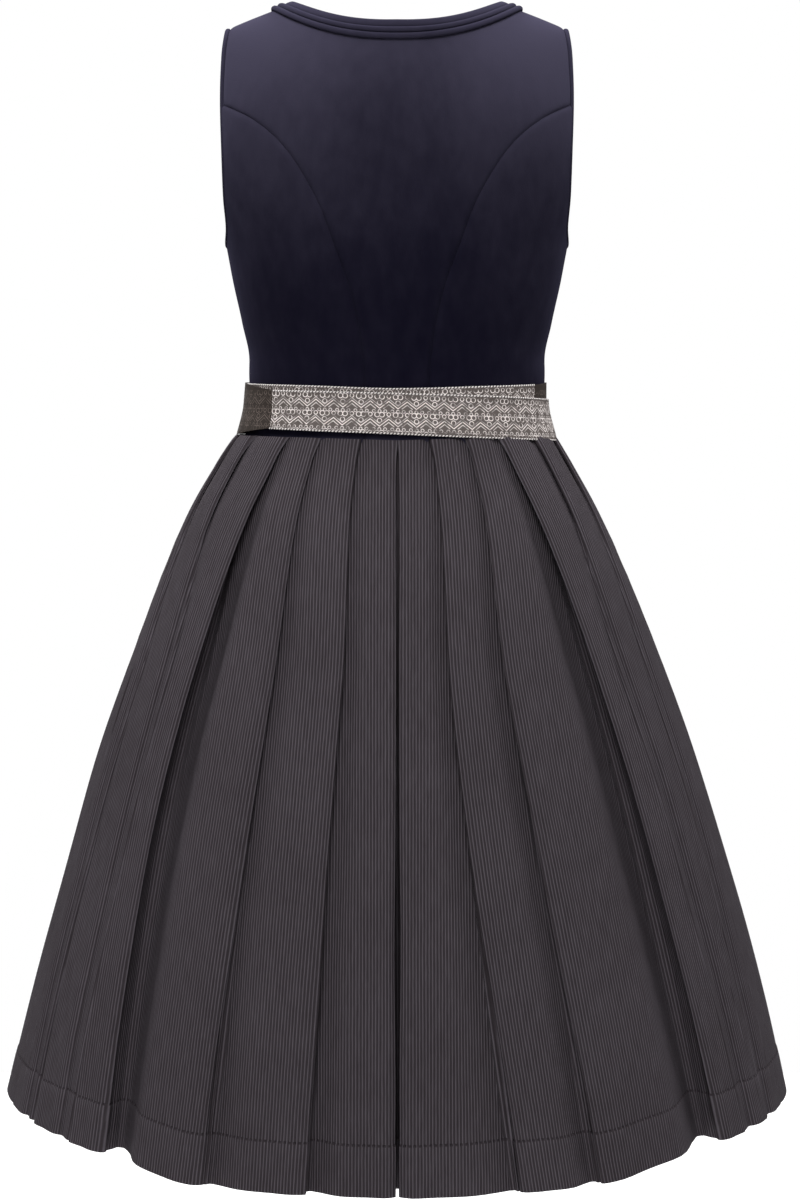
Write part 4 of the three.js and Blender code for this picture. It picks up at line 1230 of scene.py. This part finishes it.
@dataclass
class Closure:
    """The placket down the centre front and its buttons."""

    cut: BodiceCut
    cloth: Wardrobe
    half_width: float = 11.0
    low: float = 54.0
    high: float = 215.3
    count: int = 7
    lift: float = 2.1
    edge_lift: float = 0.7
    wall: float = 1.2
    across: tuple[float, ...] = (-1.0, -0.97, -0.88, -0.6, -0.2, 0.2, 0.6, 0.88, 0.97, 1.0)
    radius: float = 6.0
    height: float = 1.8
    button_lift: float = 2.45
    button_low: float = 62.0
    button_high: float = 205.0
    domed: tuple[Place, ...] = ((0.7, 0.35), (0.5, -0.5), (1.0, 0.9), (1.4, 0.8), (1.3, 0.3))

    def build(self) -> None:
        """Make the placket and sew the buttons on."""
        rows = []
        for part in shares(40):
            level = mix(self.low, self.high, part) / self.cut.roll_h
            reach = self.half_width / self.cut.radius(math.pi, level * self.cut.roll_h)
            spots = []
            for share in self.across:
                out = mix(self.lift, self.edge_lift, ease((abs(share) - 0.9) / 0.1))
                place = (math.pi + share * reach, level)
                spots.append((self.cut.point(place, out), (share * self.half_width * MM, level)))
            rows.append(spots)
        strip = Mesher.sheet("placket_cloth", rows, self.wall, weld=FIRM_WELD)
        finish_piece(strip, self.cloth.velvet, ["front_placket"])
        for i in range(self.count):
            self.build_button(i)

    def build_button(self, index: int) -> None:
        """Make one domed button with a stepped rim."""
        h = mix(self.button_low, self.button_high, index / (self.count - 1))
        place = (math.pi, h / self.cut.roll_h)
        out = self.cut.normal(place)
        centre = self.cut.point(place, self.button_lift)
        deep = self.height * MM
        Mesher.deselect()
        bpy.ops.mesh.primitive_cylinder_add(
            vertices=40, radius=self.radius * MM, depth=deep, end_fill_type="NGON"
        )
        button = bpy.context.object
        button.name = button.data.name = f"button_{index + 1}_metal"
        ops = bpy.ops.mesh
        Mesher.edit(button, lambda: ops.select_mode(type="FACE"), chosen="DESELECT")
        for face in button.data.polygons:
            face.select = face.normal.z > 0.9
        bpy.ops.object.mode_set(mode="EDIT")
        for thickness, depth in self.domed:
            ops.inset(thickness=thickness * MM, depth=depth * MM)
        bpy.ops.object.mode_set(mode="OBJECT")
        turn = Vector((0, 0, 1)).rotation_difference(out)
        for vertex in button.data.vertices:
            vertex.co = centre + turn @ (vertex.co + Vector((0, 0, deep / 2)))
        bpy.ops.object.shade_smooth_by_angle(angle=math.radians(40))
        finish_piece(button, self.cloth.metal, [f"button_{index + 1}"])


@dataclass(frozen=True)
class Pleat:
    """One fold edge of the skirt.

    Its angle from the centre, how far the cloth runs on beneath it and how deep the fold is beside
    it are given at the waist, at the middle and at the hem.
    """

    angle: Three
    tuck: Three
    valley: Two


class SkirtForm:
    """The flared form of the skirt, measured down from the waist seam."""

    sections = Table(
        "at left right back front power",
        (0, 141, 138, 98, 94, 2.3),
        (20, 160, 155, 111, 104, 2.28),
        (55, 182, 176, 133, 121, 2.22),
        (109, 206, 201, 161, 145, 2.15),
        (181, 233, 230, 194, 175, 2.08),
        (288, 270, 269, 238, 218, 2.02),
        (396, 300, 300, 279, 256, 2.0),
        (503, 328, 328, 315, 290, 2.0),
        (595, 348, 348, 344, 316, 2.0),
    )
    hem_rise = Table(
        "at rise",
        (0, 0), (28, 0), (40, 9), (52, 15), (75, 19), (95, 17), (130, 7), (180, 0),
    )
    waist_rise = Table("at rise", (0, 3.5), (50, 6), (90, 7), (130, 4), (180, 0))
    length = 595.0
    middle = 205.0
    waist_reach = 20.0
    seam_gap = 0.3

    def height(self, x: float, y: float, down: float) -> float:
        """Return a point's height, with the waist seam and the hem lifted at the sides."""
        at = math.degrees(math.atan2(abs(x), y))
        lift = self.hem_rise.read("rise", at) * (down / self.length) ** 2
        lift += self.waist_rise.read("rise", at) * bell(down, self.waist_reach)
        return lift - SHOULDER_H - self.seam_gap - down

    def radius(self, angle: float, down: float) -> float:
        """Return the form's distance from the axis."""
        depth = self.sections.read("back" if math.cos(angle) > 0 else "front", down)
        half = self.sections.read("left" if math.sin(angle) > 0 else "right", down)
        return oval_radius(angle, half, depth, self.sections.read("power", down))

    def along(self, values: Three, down: float) -> float:
        """Return a pleat's size at a depth, from its three values."""
        rows = zip((0, self.middle, self.length), values)
        return Table("at value", *rows).read("value", down)


@dataclass
class Skirt:
    """The pleated skirt: a back and a front joined at two side seams.

    A pleat's face has points at a share of its width, sunk by a share of the valley beside it. The
    turn below and the lip above have four shares a point: how far along the cloth it lies where the
    fold is loose and where it is tight, and how far in, in the same order.
    """

    form: SkirtForm
    cloth: Wardrobe
    wall: float = 1.1
    pitch: float = 2.4
    fold_radius_hem: float = 3.4
    hem_height: float = 39.0
    hem_step: float = 0.8
    seam_dip: float = 0.5
    belt_swell: float = 1.9
    belt_reach: float = 9.0
    crowding: float = 1.12
    cloth_slope: float = 1.06
    rows: int = 84
    between: int = 4
    face_points: tuple[Place, ...] = ((0.3, 0.04), (0.6, 0.15))
    turn_points: tuple[Four, ...] = (
        (-1, -0.6, 0, 0),
        (0.4, 0, 0.2, 1),
        (0.9, -0.6, 1.3, 2),
    )
    lip_points: tuple[Four, ...] = (
        (-0.3, 1, 2.4, 2),
        (0, 0, 1, 1),
        (1.7, 1, 0, 0),
    )
    side_seam: Table = Table("at angle", (0, 92), (205, 84), (595, 75))
    back_left: tuple[Pleat, ...] = (
        Pleat((0.6, 0.4, 0.25), (22, 20, 15), (14, 30)),
        Pleat((18.9, 13.1, 12.5), (24, 9, 1), (9, 15)),
        Pleat((37.4, 30, 28), (21, 8, -6), (9, 11)),
        Pleat((51.2, 51.6, 45.6), (19, 14, 4), (23, 27)),
        Pleat((68, 62, 56), (10, -12, -24), (4, 4)),
        Pleat((84, 74.5, 68), (6, -12, -22), (3, 4)),
    )
    back_right: tuple[Pleat, ...] = (
        Pleat((1.2, 0.7, 0.45), (22, 20, 15), (14, 30)),
        Pleat((17.5, 13, 17.2), (24, 9, -4), (9, 11)),
        Pleat((34, 26.5, 29.3), (22, 9, -2), (10, 13)),
        Pleat((48.5, 51, 52.5), (19, 14, 4), (22, 27)),
        Pleat((65, 61.5, 61.5), (10, -12, -24), (4, 5)),
        Pleat((82, 73, 69), (6, -12, -22), (3, 4)),
    )
    front: tuple[Pleat, ...] = (
        Pleat((1, 0.8, 1), (20, 14, 3), (10, 14)),
        Pleat((20, 17, 18), (20, 6, -8), (9, 11)),
        Pleat((39, 35, 37), (19, 5, -10), (9, 11)),
        Pleat((57, 53, 57), (17, 3, -12), (9, 10)),
        Pleat((74, 74, 78), (14, -5, -14), (8, 9)),
    )

    def spot(self, angle: float, shift: float, depth: float, down: float) -> Vector:
        """Return one point of a section, in the flat plane of that section."""
        turned = angle + shift / self.form.radius(angle, down)
        radius = self.form.radius(turned, down) - depth - self.wall / 2
        return Vector((radius * math.sin(turned), radius * math.cos(turned)))

    def half(
        self, pleats: tuple[Pleat, ...], seam: float, start: float, way: int, down: float
    ) -> list[Vector]:
        """Return half a section, from a centre line to a side seam.

        Args:
            pleats: The fold edges in order.
            seam: The side seam's angle from the centre line, in radians.
            start: The centre line's angle.
            way: 1 or -1, the direction in which the half runs.
            down: The depth of the section.

        Returns:
            The section's points, in millimetres.
        """
        form = self.form
        share = down / form.length
        easing = limit(down / form.middle, 0, 1)
        edge = mix(self.pitch / 2, self.fold_radius_hem, share)
        spots: list[Vector] = []

        def put(angle: float, shift: float, depth: float) -> None:
            """Add a point at an angle, shifted along the cloth and set in by a depth."""
            spots.append(self.spot(start + way * angle, way * shift, depth, down))

        face_from = 0.0
        for k, pleat in enumerate(pleats):
            at = math.radians(form.along(pleat.angle, down))
            tuck = form.along(pleat.tuck, down)
            valley = form.along((2 * self.pitch, *pleat.valley), down)
            turn = mix(self.pitch / 2, valley * 0.28, easing)
            folded = limit(tuck / (4 * turn) + 0.5, 0, 1)
            lip, spread = min(edge, valley * 0.35), edge * mix(3.0, 1, folded)
            if k == 0:
                put(0, 0, valley)
            else:
                for part, sink in self.face_points:
                    put(mix(face_from, at, part), 0, valley * sink)
                put(at, mix(-2.2, -1, folded) * turn - 1 + min(tuck, 0), valley * 0.9)
            for loose, tight, loose_in, tight_in in self.turn_points:
                rise = mix(loose_in, tight_in, folded) * turn
                put(at, tuck + mix(loose, tight, folded) * turn, valley - rise)
            for loose, tight, loose_in, tight_in in self.lip_points:
                put(at, mix(loose, tight, folded) * spread, mix(loose_in, tight_in, folded) * lip)
            face_from = at
        for part in (0.25, 0.5, 0.75, 0.9):
            put(mix(face_from, seam, part), 0, 0)
        put(seam, 0, self.seam_dip)
        return spots

    def section(self, back: bool, down: float) -> list[Vector]:
        """Return the whole section of the back or the front, in the order of rising angle."""
        start, seam = 0.0, math.radians(self.side_seam.read("angle", down))
        if not back:
            start, seam = math.pi, math.pi - seam
        rising, falling = (
            self.half(pleats, seam, start, way, down) for pleats, way in zip(self.pleats(back), (1, -1))
        )
        return [*reversed(falling[1:]), *rising]

    def pleats(self, back: bool) -> tuple[tuple[Pleat, ...], tuple[Pleat, ...]]:
        """Return the pleats of both halves of a panel, the half of rising angle first."""
        return (self.back_left, self.back_right) if back else (self.front, self.front)

    def smoothed(self, spots: list[Vector]) -> list[Vector]:
        """Return a section with points added on a smooth curve through the ones given."""
        count = len(spots)
        full = []
        for i in range(count - 1):
            a, b = spots[i], spots[i + 1]
            before, after = spots[max(i - 1, 0)], spots[min(i + 2, count - 1)]
            span = (b - a).length
            leave, arrive = self.lean(before, a, b) * span, self.lean(a, b, after) * span
            full += [hermite(a, b, leave, arrive, t) for t in shares(self.between)[:-1]]
        full.append(spots[-1])
        return full

    @staticmethod
    def lean(before: Vector, here: Vector, after: Vector) -> Vector:
        """Return the direction of the cloth at a point, from its neighbours."""
        came, goes = here - before, after - here
        reach = came.length + goes.length
        if came.length < 1e-9 or goes.length < 1e-9:
            return (came + goes).normalized()
        blended = came * (goes.length / came.length) + goes * (came.length / goes.length)
        return blended / reach if reach else blended

    def soften(self, at: Vector, down: float) -> float:
        """Return how far the hanging cloth swells off its section, in millimetres."""
        angle = math.atan2(at.x, at.y)
        low = ease(down / 420)
        wave = 1.3 * math.sin(5.1 * angle + down / 160) * math.sin(down / 93 + 2.3 * angle)
        fine = 0.5 * math.sin(19 * angle - down / 71) * math.sin(down / 47 + 1.1)
        pinch = 0.8 * math.sin(47 * angle + down / 9) * math.sin(13 * angle + 2.1) * ease(down / 8)
        return low * (wave + fine) + pinch * math.exp(-down / 26)

    def build_panel(self, name: str, back: bool) -> Piece:
        """Make the back or the front as one sheet with a small step at its hem line."""
        hem_row = self.form.length - self.hem_height
        downs = [self.form.length * share**self.crowding for share in shares(self.rows)]
        downs = sorted([*downs, hem_row - self.hem_step, hem_row + self.hem_step])
        sections = [self.smoothed(self.section(back, down)) for down in downs]
        folds = self.folds(back, len(sections[0]))
        lengths = [self.lengths(section) for section in sections]
        rows = []
        for down, section, length in zip(downs, sections, lengths):
            over = self.belt_swell * bell(down, self.belt_reach) if back else 0.0
            step = self.hem_step * ease((down - hem_row) / (1.5 * self.hem_step))
            row = []
            for j, spot in enumerate(section):
                tangent = heading(section, j)
                out = Vector((-tangent.y, tangent.x))
                lift = step + self.pucker(j, len(section), down) + self.soften(spot, down) + over
                moved = spot + out * lift
                z = self.form.height(moved.x, moved.y, down)
                thread = lengths[-1][folds[j]] + length[j] - length[folds[j]]
                row.append(
                    (Vector((moved.x, moved.y, z)) * MM, (thread * MM, down * MM * self.cloth_slope))
                )
            rows.append(row)
        return Mesher.sheet(name, rows, self.wall, 0.0)

    @staticmethod
    def lengths(section: list[Vector]) -> list[float]:
        """Return the length along a section up to each of its points."""
        run = [0.0]
        for a, b in zip(section, section[1:]):
            run.append(run[-1] + (b - a).length)
        return run

    def folds(self, back: bool, count: int) -> list[int]:
        """Return for each point of a section the fold edge that its cords run beside.

        Args:
            back: Whether the section is the back's.
            count: The number of its points.

        Returns:
            The number of that edge's point, for each point.
        """
        rising, falling = self.pleats(back)
        centre = (2 + PLEAT_POINTS * len(falling)) * self.between
        found = []
        for j in range(count):
            pleats = rising if j >= centre else falling
            step = abs(j - centre) / self.between
            k = int(limit((step - 1) // PLEAT_POINTS, 0, len(pleats) - 1))
            edge = (5 + PLEAT_POINTS * k) * self.between
            found.append(centre + edge if j >= centre else centre - edge)
        return found

    def pucker(self, j: int, count: int, down: float) -> float:
        """Return the pucker of the cloth beside a side seam, in millimetres."""
        near = min(j, count - 1 - j) / self.between
        beat = math.sin(down / 4.4) + 0.6 * math.sin(down / 6.7 + 1.3)
        return 0.55 * bell(near, 0.9) * beat * ease(down / 60) - 0.5 * bell(near, 0.35)

    def build(self) -> None:
        """Make both panels."""
        for name, back in (("skirt_back", True), ("skirt_front", False)):
            panel = self.build_panel(f"{name}_cloth", back)
            finish_piece(panel, self.cloth.ribbed, [name])


@dataclass
class Apron:
    """The apron in front, gathered into its waistband."""

    cut: BodiceCut
    skirt: SkirtForm
    cloth: Wardrobe
    length: float = 560.0
    top: float = 5.7
    clear: float = 1.0
    waves: int = 7
    wave_waist: float = 1.2
    wave_hem: float = 9.0
    columns: int = 168
    rows: int = 60
    crowding: float = 1.15
    wall: float = 0.9
    half_width: float = 0.22
    spread: Table = Table("at angle", (0, 56), (180, 48), (595, 42))

    def skin(self, angle: float, h: float) -> Vector:
        """Return the garment's form, above or below the waist seam."""
        if h >= 0:
            return self.cut.skin((angle, h / self.cut.roll_h))
        radius = self.skirt.radius(angle, -h)
        return Vector((radius * math.sin(angle), radius * math.cos(angle), h))

    def point(self, angle: float, h: float, out: float) -> Vector:
        """Return a point off the garment, in metres."""
        tiny = 0.01
        reach = 3 if h > -20 else 8
        turn = self.skin(angle + tiny, h) - self.skin(angle - tiny, h)
        rise = self.skin(angle, h + reach) - self.skin(angle, h - reach)
        at = self.skin(angle, h) + rise.cross(turn).normalized() * out
        return Vector((at.x, at.y, at.z - SHOULDER_H)) * MM

    def build(self) -> None:
        """Make the apron."""
        rows = []
        heights = [self.top, 4.0, 2.0]
        heights += [-self.length * share**self.crowding for share in shares(self.rows)]
        for h in heights:
            down = max(-h, 0.0)
            spread = math.radians(self.spread.read("angle", down))
            wave = mix(self.wave_waist, self.wave_hem, down / self.length)
            row = []
            for share in shares(self.columns):
                swell = 0.5 - 0.5 * math.cos(share * self.waves * CIRCLE)
                fine = 0.5 * math.exp(-down / 70) * math.sin(share * 210)
                out = self.clear + wave * swell + abs(fine)
                at = self.point(math.pi + mix(-spread, spread, share), h, out)
                row.append((at, (mix(-self.half_width, self.half_width, share), down * MM)))
            rows.append(row)
        panel = Mesher.sheet("apron_panel_cloth", rows, self.wall, 1.0)
        finish_piece(panel, self.cloth.apron, ["apron"])


@dataclass
class WaistBands:
    """The apron's waistband and the two ties that cross at the back."""

    cut: BodiceCut
    cloth: Wardrobe
    wall: float = 1.0
    layer_gap: float = 0.75
    band: float = 1.2
    cord_radius: float = 0.8
    step_angle: float = 0.9

    def layer(self, number: int) -> float:
        """Return how far out a layer of cloth lies, counted from 0 on the garment."""
        return self.layer_gap + number * (self.band + self.layer_gap)

    def build(self) -> None:
        """Make the three bands, with their rows of angle, edges, lift and flare."""
        under, over, knot = (self.layer(number) for number in range(3))
        bands = (
            (
                "apron_waistband",
                (0.52, 0.047),
                (59.4, 12.8, 47, over, 0.6),
                (90, 6, 53, over, 4),
                (112, 6, 53, over, 0),
                (150, 6, 53, over, 0),
                (176, 6, 53, under, 0),
                (270, 6, 53, under, 0),
                (291.6, 9, 51, under, 0),
            ),
            (
                "tie_over",
                (0.60, 0.035),
                (-212, 13, 45, knot, 0),
                (-184, 9, 43.5, over, 0),
                (-122, 6.6, 42, over, 0),
                (-90, 1, 37.5, over, 3),
                (-45, 5, 41, over, 0),
                (0, 8.9, 43.6, over, 0),
                (59.2, 12.8, 46, over, 0.6),
            ),
            (
                "tie_under",
                (0.45, 0.035),
                (-68.2, 13, 50.7, under, 0),
                (-45, 14.5, 49.5, under, 0),
                (0, 13, 47.6, under, 0),
                (45, 15, 50, under, 0),
                (90, 17, 51.5, under, 0),
                (132, 15, 49, under, 0),
            ),
        )
        for name, flat, *rows in bands:
            self.strip(name, Table("at bottom top out flare", *rows), flat)

    def strip(self, name: str, table: Table, flat: Two) -> None:
        """Make one band round the waist; a tie gets a bright cord on each edge.

        Args:
            name: The node that it stands for.
            table: By angle, its lower edge, its upper edge, its place outwards and how far its
                lower edge stands out more.
            flat: Its cut size in metres; not used.
        """
        first, last = table.at[0], table.at[-1]
        steps = round((last - first) / self.step_angle)
        up = [0.0, 0.02, 0.05, 0.1, *(mix(0.15, 0.85, share) for share in shares(9))]
        up += [0.9, 0.95, 0.98, 1.0]
        rows: list[list[Spot]] = [[] for _ in up]
        run = 0.0
        before = None
        for part in shares(steps):
            at = mix(first, last, part)
            low, high, out, flare = (table.read(c, at) for c in ("bottom", "top", "out", "flare"))
            angle = math.radians(at)
            here = self.cut.skin((angle, mix(low, high, 0.5) / self.cut.roll_h))
            run += (here - before).length if before else 0.0
            before = here
            for row, share in zip(rows, up):
                place = (angle, mix(low, high, share) / self.cut.roll_h)
                lift = out + flare * (1 - share) + self.band / 2 + self.crease(name, at, share)
                row.append((self.cut.point(place, lift), (run * MM, (share - 0.5) * (high - low) * MM)))
        tie = name.startswith("tie")
        sheet = Mesher.sheet(f"{name}_cloth", rows, self.wall, 0.0)
        material = self.cloth.silver if tie else self.cloth.taupe
        finish_piece(sheet, material, [name])
        if tie:
            for word, row in (("lower", rows[0]), ("upper", rows[-1])):
                self.edge_cord(f"{name}_{word}_edge", [spot[0] for spot in row])

    def crease(self, name: str, at: float, share: float) -> float:
        """Return how far a crease lifts a band, in millimetres."""
        if name != "tie_over":
            return 0.0
        pull = bell(at + 58, 13) + 0.5 * bell(at - 52, 7)
        return 0.495 * pull * math.sin((share - 0.5) * 9 + at / 5.2) * (0.35 + share)

    def edge_cord(self, name: str, points: list[Vector]) -> Piece:
        """Make the bright twisted cord along a tie's edge."""
        thick = self.cord_radius * MM
        rings = []
        for i, point in enumerate(points):
            out = Vector((point.x, point.y, 0)).normalized()
            up = heading(points, i).cross(out).normalized()
            rings.append(ring(point, out * thick, up * thick, 8))
        cord = Mesher.tube(name, rings, False, TwistedEdge.girth)
        finish_piece(cord, self.cloth.edge, [])
        return cord


@dataclass
class Bow:
    """The knot, loops and hanging ends in front."""

    cut: BodiceCut
    apron: Apron
    bands: WaistBands
    cloth: Wardrobe
    angle: float = math.radians(148)
    h: float = 33.0
    droop: float = 0.14
    wall: float = 1.0
    end_half: float = 18.0
    end_slant: float = 14.0
    end_drop: float = 17.75
    end_swing: float = 4.5
    end_lift: float = 1.4
    loop_lift: float = 0.5
    knot_half: Three = (12.6, 6.8, 16.5)
    knot_girth: float = 0.06
    across: tuple[float, ...] = tuple(mix(-1, 1, share) for share in shares(12))
    loop: Table = Table(
        "at along out half",
        (0, 13.6, 6.2, 10),
        (1, 34, 7, 17),
        (2, 54, 9.5, 20),
        (3, 64, 14, 20.5),
        (4, 56, 19, 20),
        (5, 34, 20, 17),
        (6, 13.6, 14.5, 10),
    )

    def build(self) -> None:
        """Make the knot, both loops and both ends."""
        self.build_knot()
        self.build_loop("bow_loop_left", -1)
        self.build_loop("bow_loop_right", 1)
        self.build_end("tie_end_left", -1, 9.0, 4.2, 285.0)
        self.build_end("tie_end_right", 1, 11.0, 7.2, 250.0)

    def facing(self) -> tuple[Vector, Vector]:
        """Return the directions out of the cloth and up along it at the knot."""
        out = self.cut.normal((self.angle, self.h / self.cut.roll_h))
        return out, (Vector((0, 0, 1)) - out * out.z).normalized()

    def build_knot(self) -> None:
        """Make the knot, a short drum with soft folds wrapped round it."""
        wide, deep, tall = self.knot_half
        out, up = self.facing()
        across = up.cross(out).normalized()
        place = (self.angle, self.h / self.cut.roll_h)
        base = self.cut.point(place, self.bands.layer(3) - self.bands.layer_gap + deep)
        rings = []
        for part in shares(32):
            share = mix(-1, 1, part)
            slim = math.sqrt(1 - (share * 0.9) ** 2)
            points = []
            for turn in (CIRCLE * k / 40 for k in range(40)):
                size = slim * (1 + 0.06 * math.sin(share * 11 + math.cos(turn) * 2.2))
                off = across * (wide * math.cos(turn) * size) + out * (deep * math.sin(turn) * size)
                points.append(base + (off + up * (tall * share)) * MM)
            rings.append(points)
        knot = Mesher.tube("bow_knot_cloth", rings, False, self.knot_girth)
        finish_piece(knot, self.cloth.silver, ["bow_knot"])

    def build_loop(self, name: str, way: int) -> None:
        """Make one loop of the bow as a ribbon that turns back on itself."""
        out, up = self.facing()
        reach = self.cut.radius(self.angle, self.h)
        stops = []
        for along, off in zip(self.loop.columns["along"], self.loop.columns["out"]):
            turned = self.angle + way * along / reach
            level = (self.h - along * self.droop) / self.cut.roll_h
            stops.append(self.cut.point((turned, level), off + self.loop_lift))
        count = len(stops) - 1
        rows = []
        run = 0.0
        before = None
        for part in shares(60):
            t = part * count
            k = min(int(t), count - 1)
            centre = self.curve(stops, k, t - k)
            run += (centre - before).length if before else 0.0
            before = centre
            half = self.loop.read("half", t)
            row = []
            for share in self.across:
                bend = 0.8 * math.cos(share * 8) * math.exp(-min(t, count - t) * 1.3)
                point = centre + (up * (half * share) + out * bend) * MM
                row.append((point, (run, half * share * MM)))
            rows.append(row)
        self.ribbon(name, rows, None)

    def ribbon(
        self, name: str, rows: list[list[Spot]], away: Outwards | None
    ) -> Piece:
        """Make and dress a ribbon of the ties' cloth."""
        piece = Mesher.sheet(f"{name}_cloth", rows, self.wall, 0.0, away=away)
        finish_piece(piece, self.cloth.silver, [name])
        return piece

    @staticmethod
    def curve(stops: list[Vector], k: int, t: float) -> Vector:
        """Return a point on the smooth curve through the stops."""
        before, after = stops[max(k - 1, 0)], stops[min(k + 2, len(stops) - 1)]
        here, there = stops[k], stops[k + 1]
        return hermite(here, there, (there - before) * 0.5, (after - here) * 0.5, t)

    def build_end(self, name: str, side: int, far: float, off: float, length: float) -> None:
        """Make one hanging end of the ties, cut on the slant.

        Args:
            name: The node that it stands for.
            side: 1 or -1, the side to which it swings.
            far: How far it has swung at its tip, in degrees.
            off: How far it lies off the apron, in millimetres.
            length: Its length in millimetres.
        """
        apron = self.apron
        rows = []
        for t in shares(70):
            row = []
            middle = self.angle + math.radians(side * mix(self.end_swing, far, t))
            wide = self.end_half * mix(0.5, 1, limit(t * 4, 0, 1))
            for share in self.across:
                slant = self.end_slant * share * side * ease((t - 0.8) / 0.2)
                h = self.h - self.end_drop - (length - 9) * t**1.35 - slant
                at = apron.skin(middle, h)
                wave = mix(apron.wave_waist, apron.wave_hem, max(-h, 0.0) / apron.length)
                fold = 0.7 * math.cos(share * 7) * math.exp(-t * 9)
                out = apron.clear + self.end_lift + wave + off + fold
                point = apron.point(middle + wide / math.hypot(at.x, at.y) * share, h, out)
                row.append((point, (length * t * MM, self.end_half * share * MM)))
            rows.append(row)
        ribbon = self.ribbon(name, rows, outwards_from_axis)


@dataclass
class Studio:
    """The pale floor, the soft lights, the surround that the camera sees as white, and the camera.

    Each lamp is a name, its place, the point that it faces, its size in metres and its watts.
    """

    distance: float = 2.89
    camera_x: float = -0.0027
    camera_z: float = -0.3124
    tilt: float = 3.97
    lens: float = 97.27
    floor_z: float = -1.42
    floor_half: float = 2.1
    floor_far: float = -2.2
    surround: float = 0.09
    lamps: tuple[tuple[str, tuple, tuple, float, float], ...] = (
        ("top", (0.15, 1.3, 1.5), (0, 0, -0.3), 1.2, 39.0),
        ("left", (0.9, 2.9, 0.4), (0, 0, -0.5), 1.0, 12.5),
        ("right", (-1.1, 2.8, 0.2), (0, 0, -0.5), 1.2, 8.5),
        ("front", (0.4, -2.8, 0.3), (0, 0, -0.45), 1.6, 22.0),
        ("floor_left", (1.4, -0.9, 1.7), (0.6, -2.0, -1.4), 1.6, 90.0),
        ("floor_right", (-1.4, -0.9, 1.7), (-0.6, -2.0, -1.4), 1.6, 90.0),
    )

    def build(self) -> None:
        """Set the whole studio up."""
        self.build_camera()
        self.build_stage()
        self.build_lights()

    def build_camera(self) -> None:
        """Place the camera behind the garment, a little above its waist."""
        data = bpy.data.cameras.new("view")
        data.lens = self.lens
        data.sensor_width = 36.0
        camera = bpy.data.objects.new("view", data)
        camera.location = (self.camera_x, self.distance, self.camera_z)
        camera.rotation_euler = (math.radians(90 - self.tilt), 0.0, math.pi)
        bpy.context.collection.objects.link(camera)
        bpy.context.scene.camera = camera

    def build_stage(self) -> None:
        """Lay the pale floor below the garment."""
        reach = self.floor_half
        rows = [
            [(Vector((x, y, self.floor_z)), (x, y)) for x in (-reach, 0.0, reach)]
            for y in (reach, 0.0, self.floor_far)
        ]
        floor = Mesher.grid("pale_floor", rows)
        n = Nodes("pale_floor")
        tone = n.noise(n.object_point(), 2.0, 2.0)
        n.surface(n.blend(tone, (0.88, 0.88, 0.88), (0.92, 0.92, 0.92)), 0.9, 0.0)
        floor.data.materials.append(n.material)

    def build_lights(self) -> None:
        """Add the soft lights and an even pale surround."""
        world = bpy.data.worlds.new("surround")
        world.use_nodes = True
        background = world.node_tree.nodes["Background"]
        background.inputs["Color"].default_value = (1.0, 1.0, 1.0, 1.0)
        seen = world.node_tree.nodes.new("ShaderNodeLightPath")
        level = world.node_tree.nodes.new("ShaderNodeMath")
        level.operation = "MULTIPLY_ADD"
        level.inputs[1].default_value = 1.0 - self.surround
        level.inputs[2].default_value = self.surround
        world.node_tree.links.new(seen.outputs["Is Camera Ray"], level.inputs[0])
        world.node_tree.links.new(level.outputs[0], background.inputs["Strength"])
        bpy.context.scene.world = world
        bpy.context.scene.view_settings.view_transform = "Standard"
        for name, place, aim, size, power in self.lamps:
            data = bpy.data.lights.new(name, "AREA")
            data.size = size
            data.energy = power
            lamp = bpy.data.objects.new(name, data)
            lamp.location = place
            lamp.rotation_euler = (Vector(aim) - Vector(place)).to_track_quat("-Z", "Y").to_euler()
            bpy.context.collection.objects.link(lamp)


def main() -> None:
    """Build the garment and the studio round the fixed frame."""
    logging.basicConfig(level=logging.INFO, format="%(name)s: %(message)s")
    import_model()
    Studio().build()
    cloth = Wardrobe()
    cut = BodiceCut()
    form = SkirtForm()
    Bodice(cut, cloth).build()
    Neckline(cut, cloth).build()
    ArmholePiping(cut, cloth).build()
    Closure(cut, cloth).build()
    Skirt(form, cloth).build()
    apron = Apron(cut, form, cloth)
    apron.build()
    bands = WaistBands(cut, cloth)
    bands.build()
    Bow(cut, apron, bands, cloth).build()


if __name__ == "__main__":
    main()
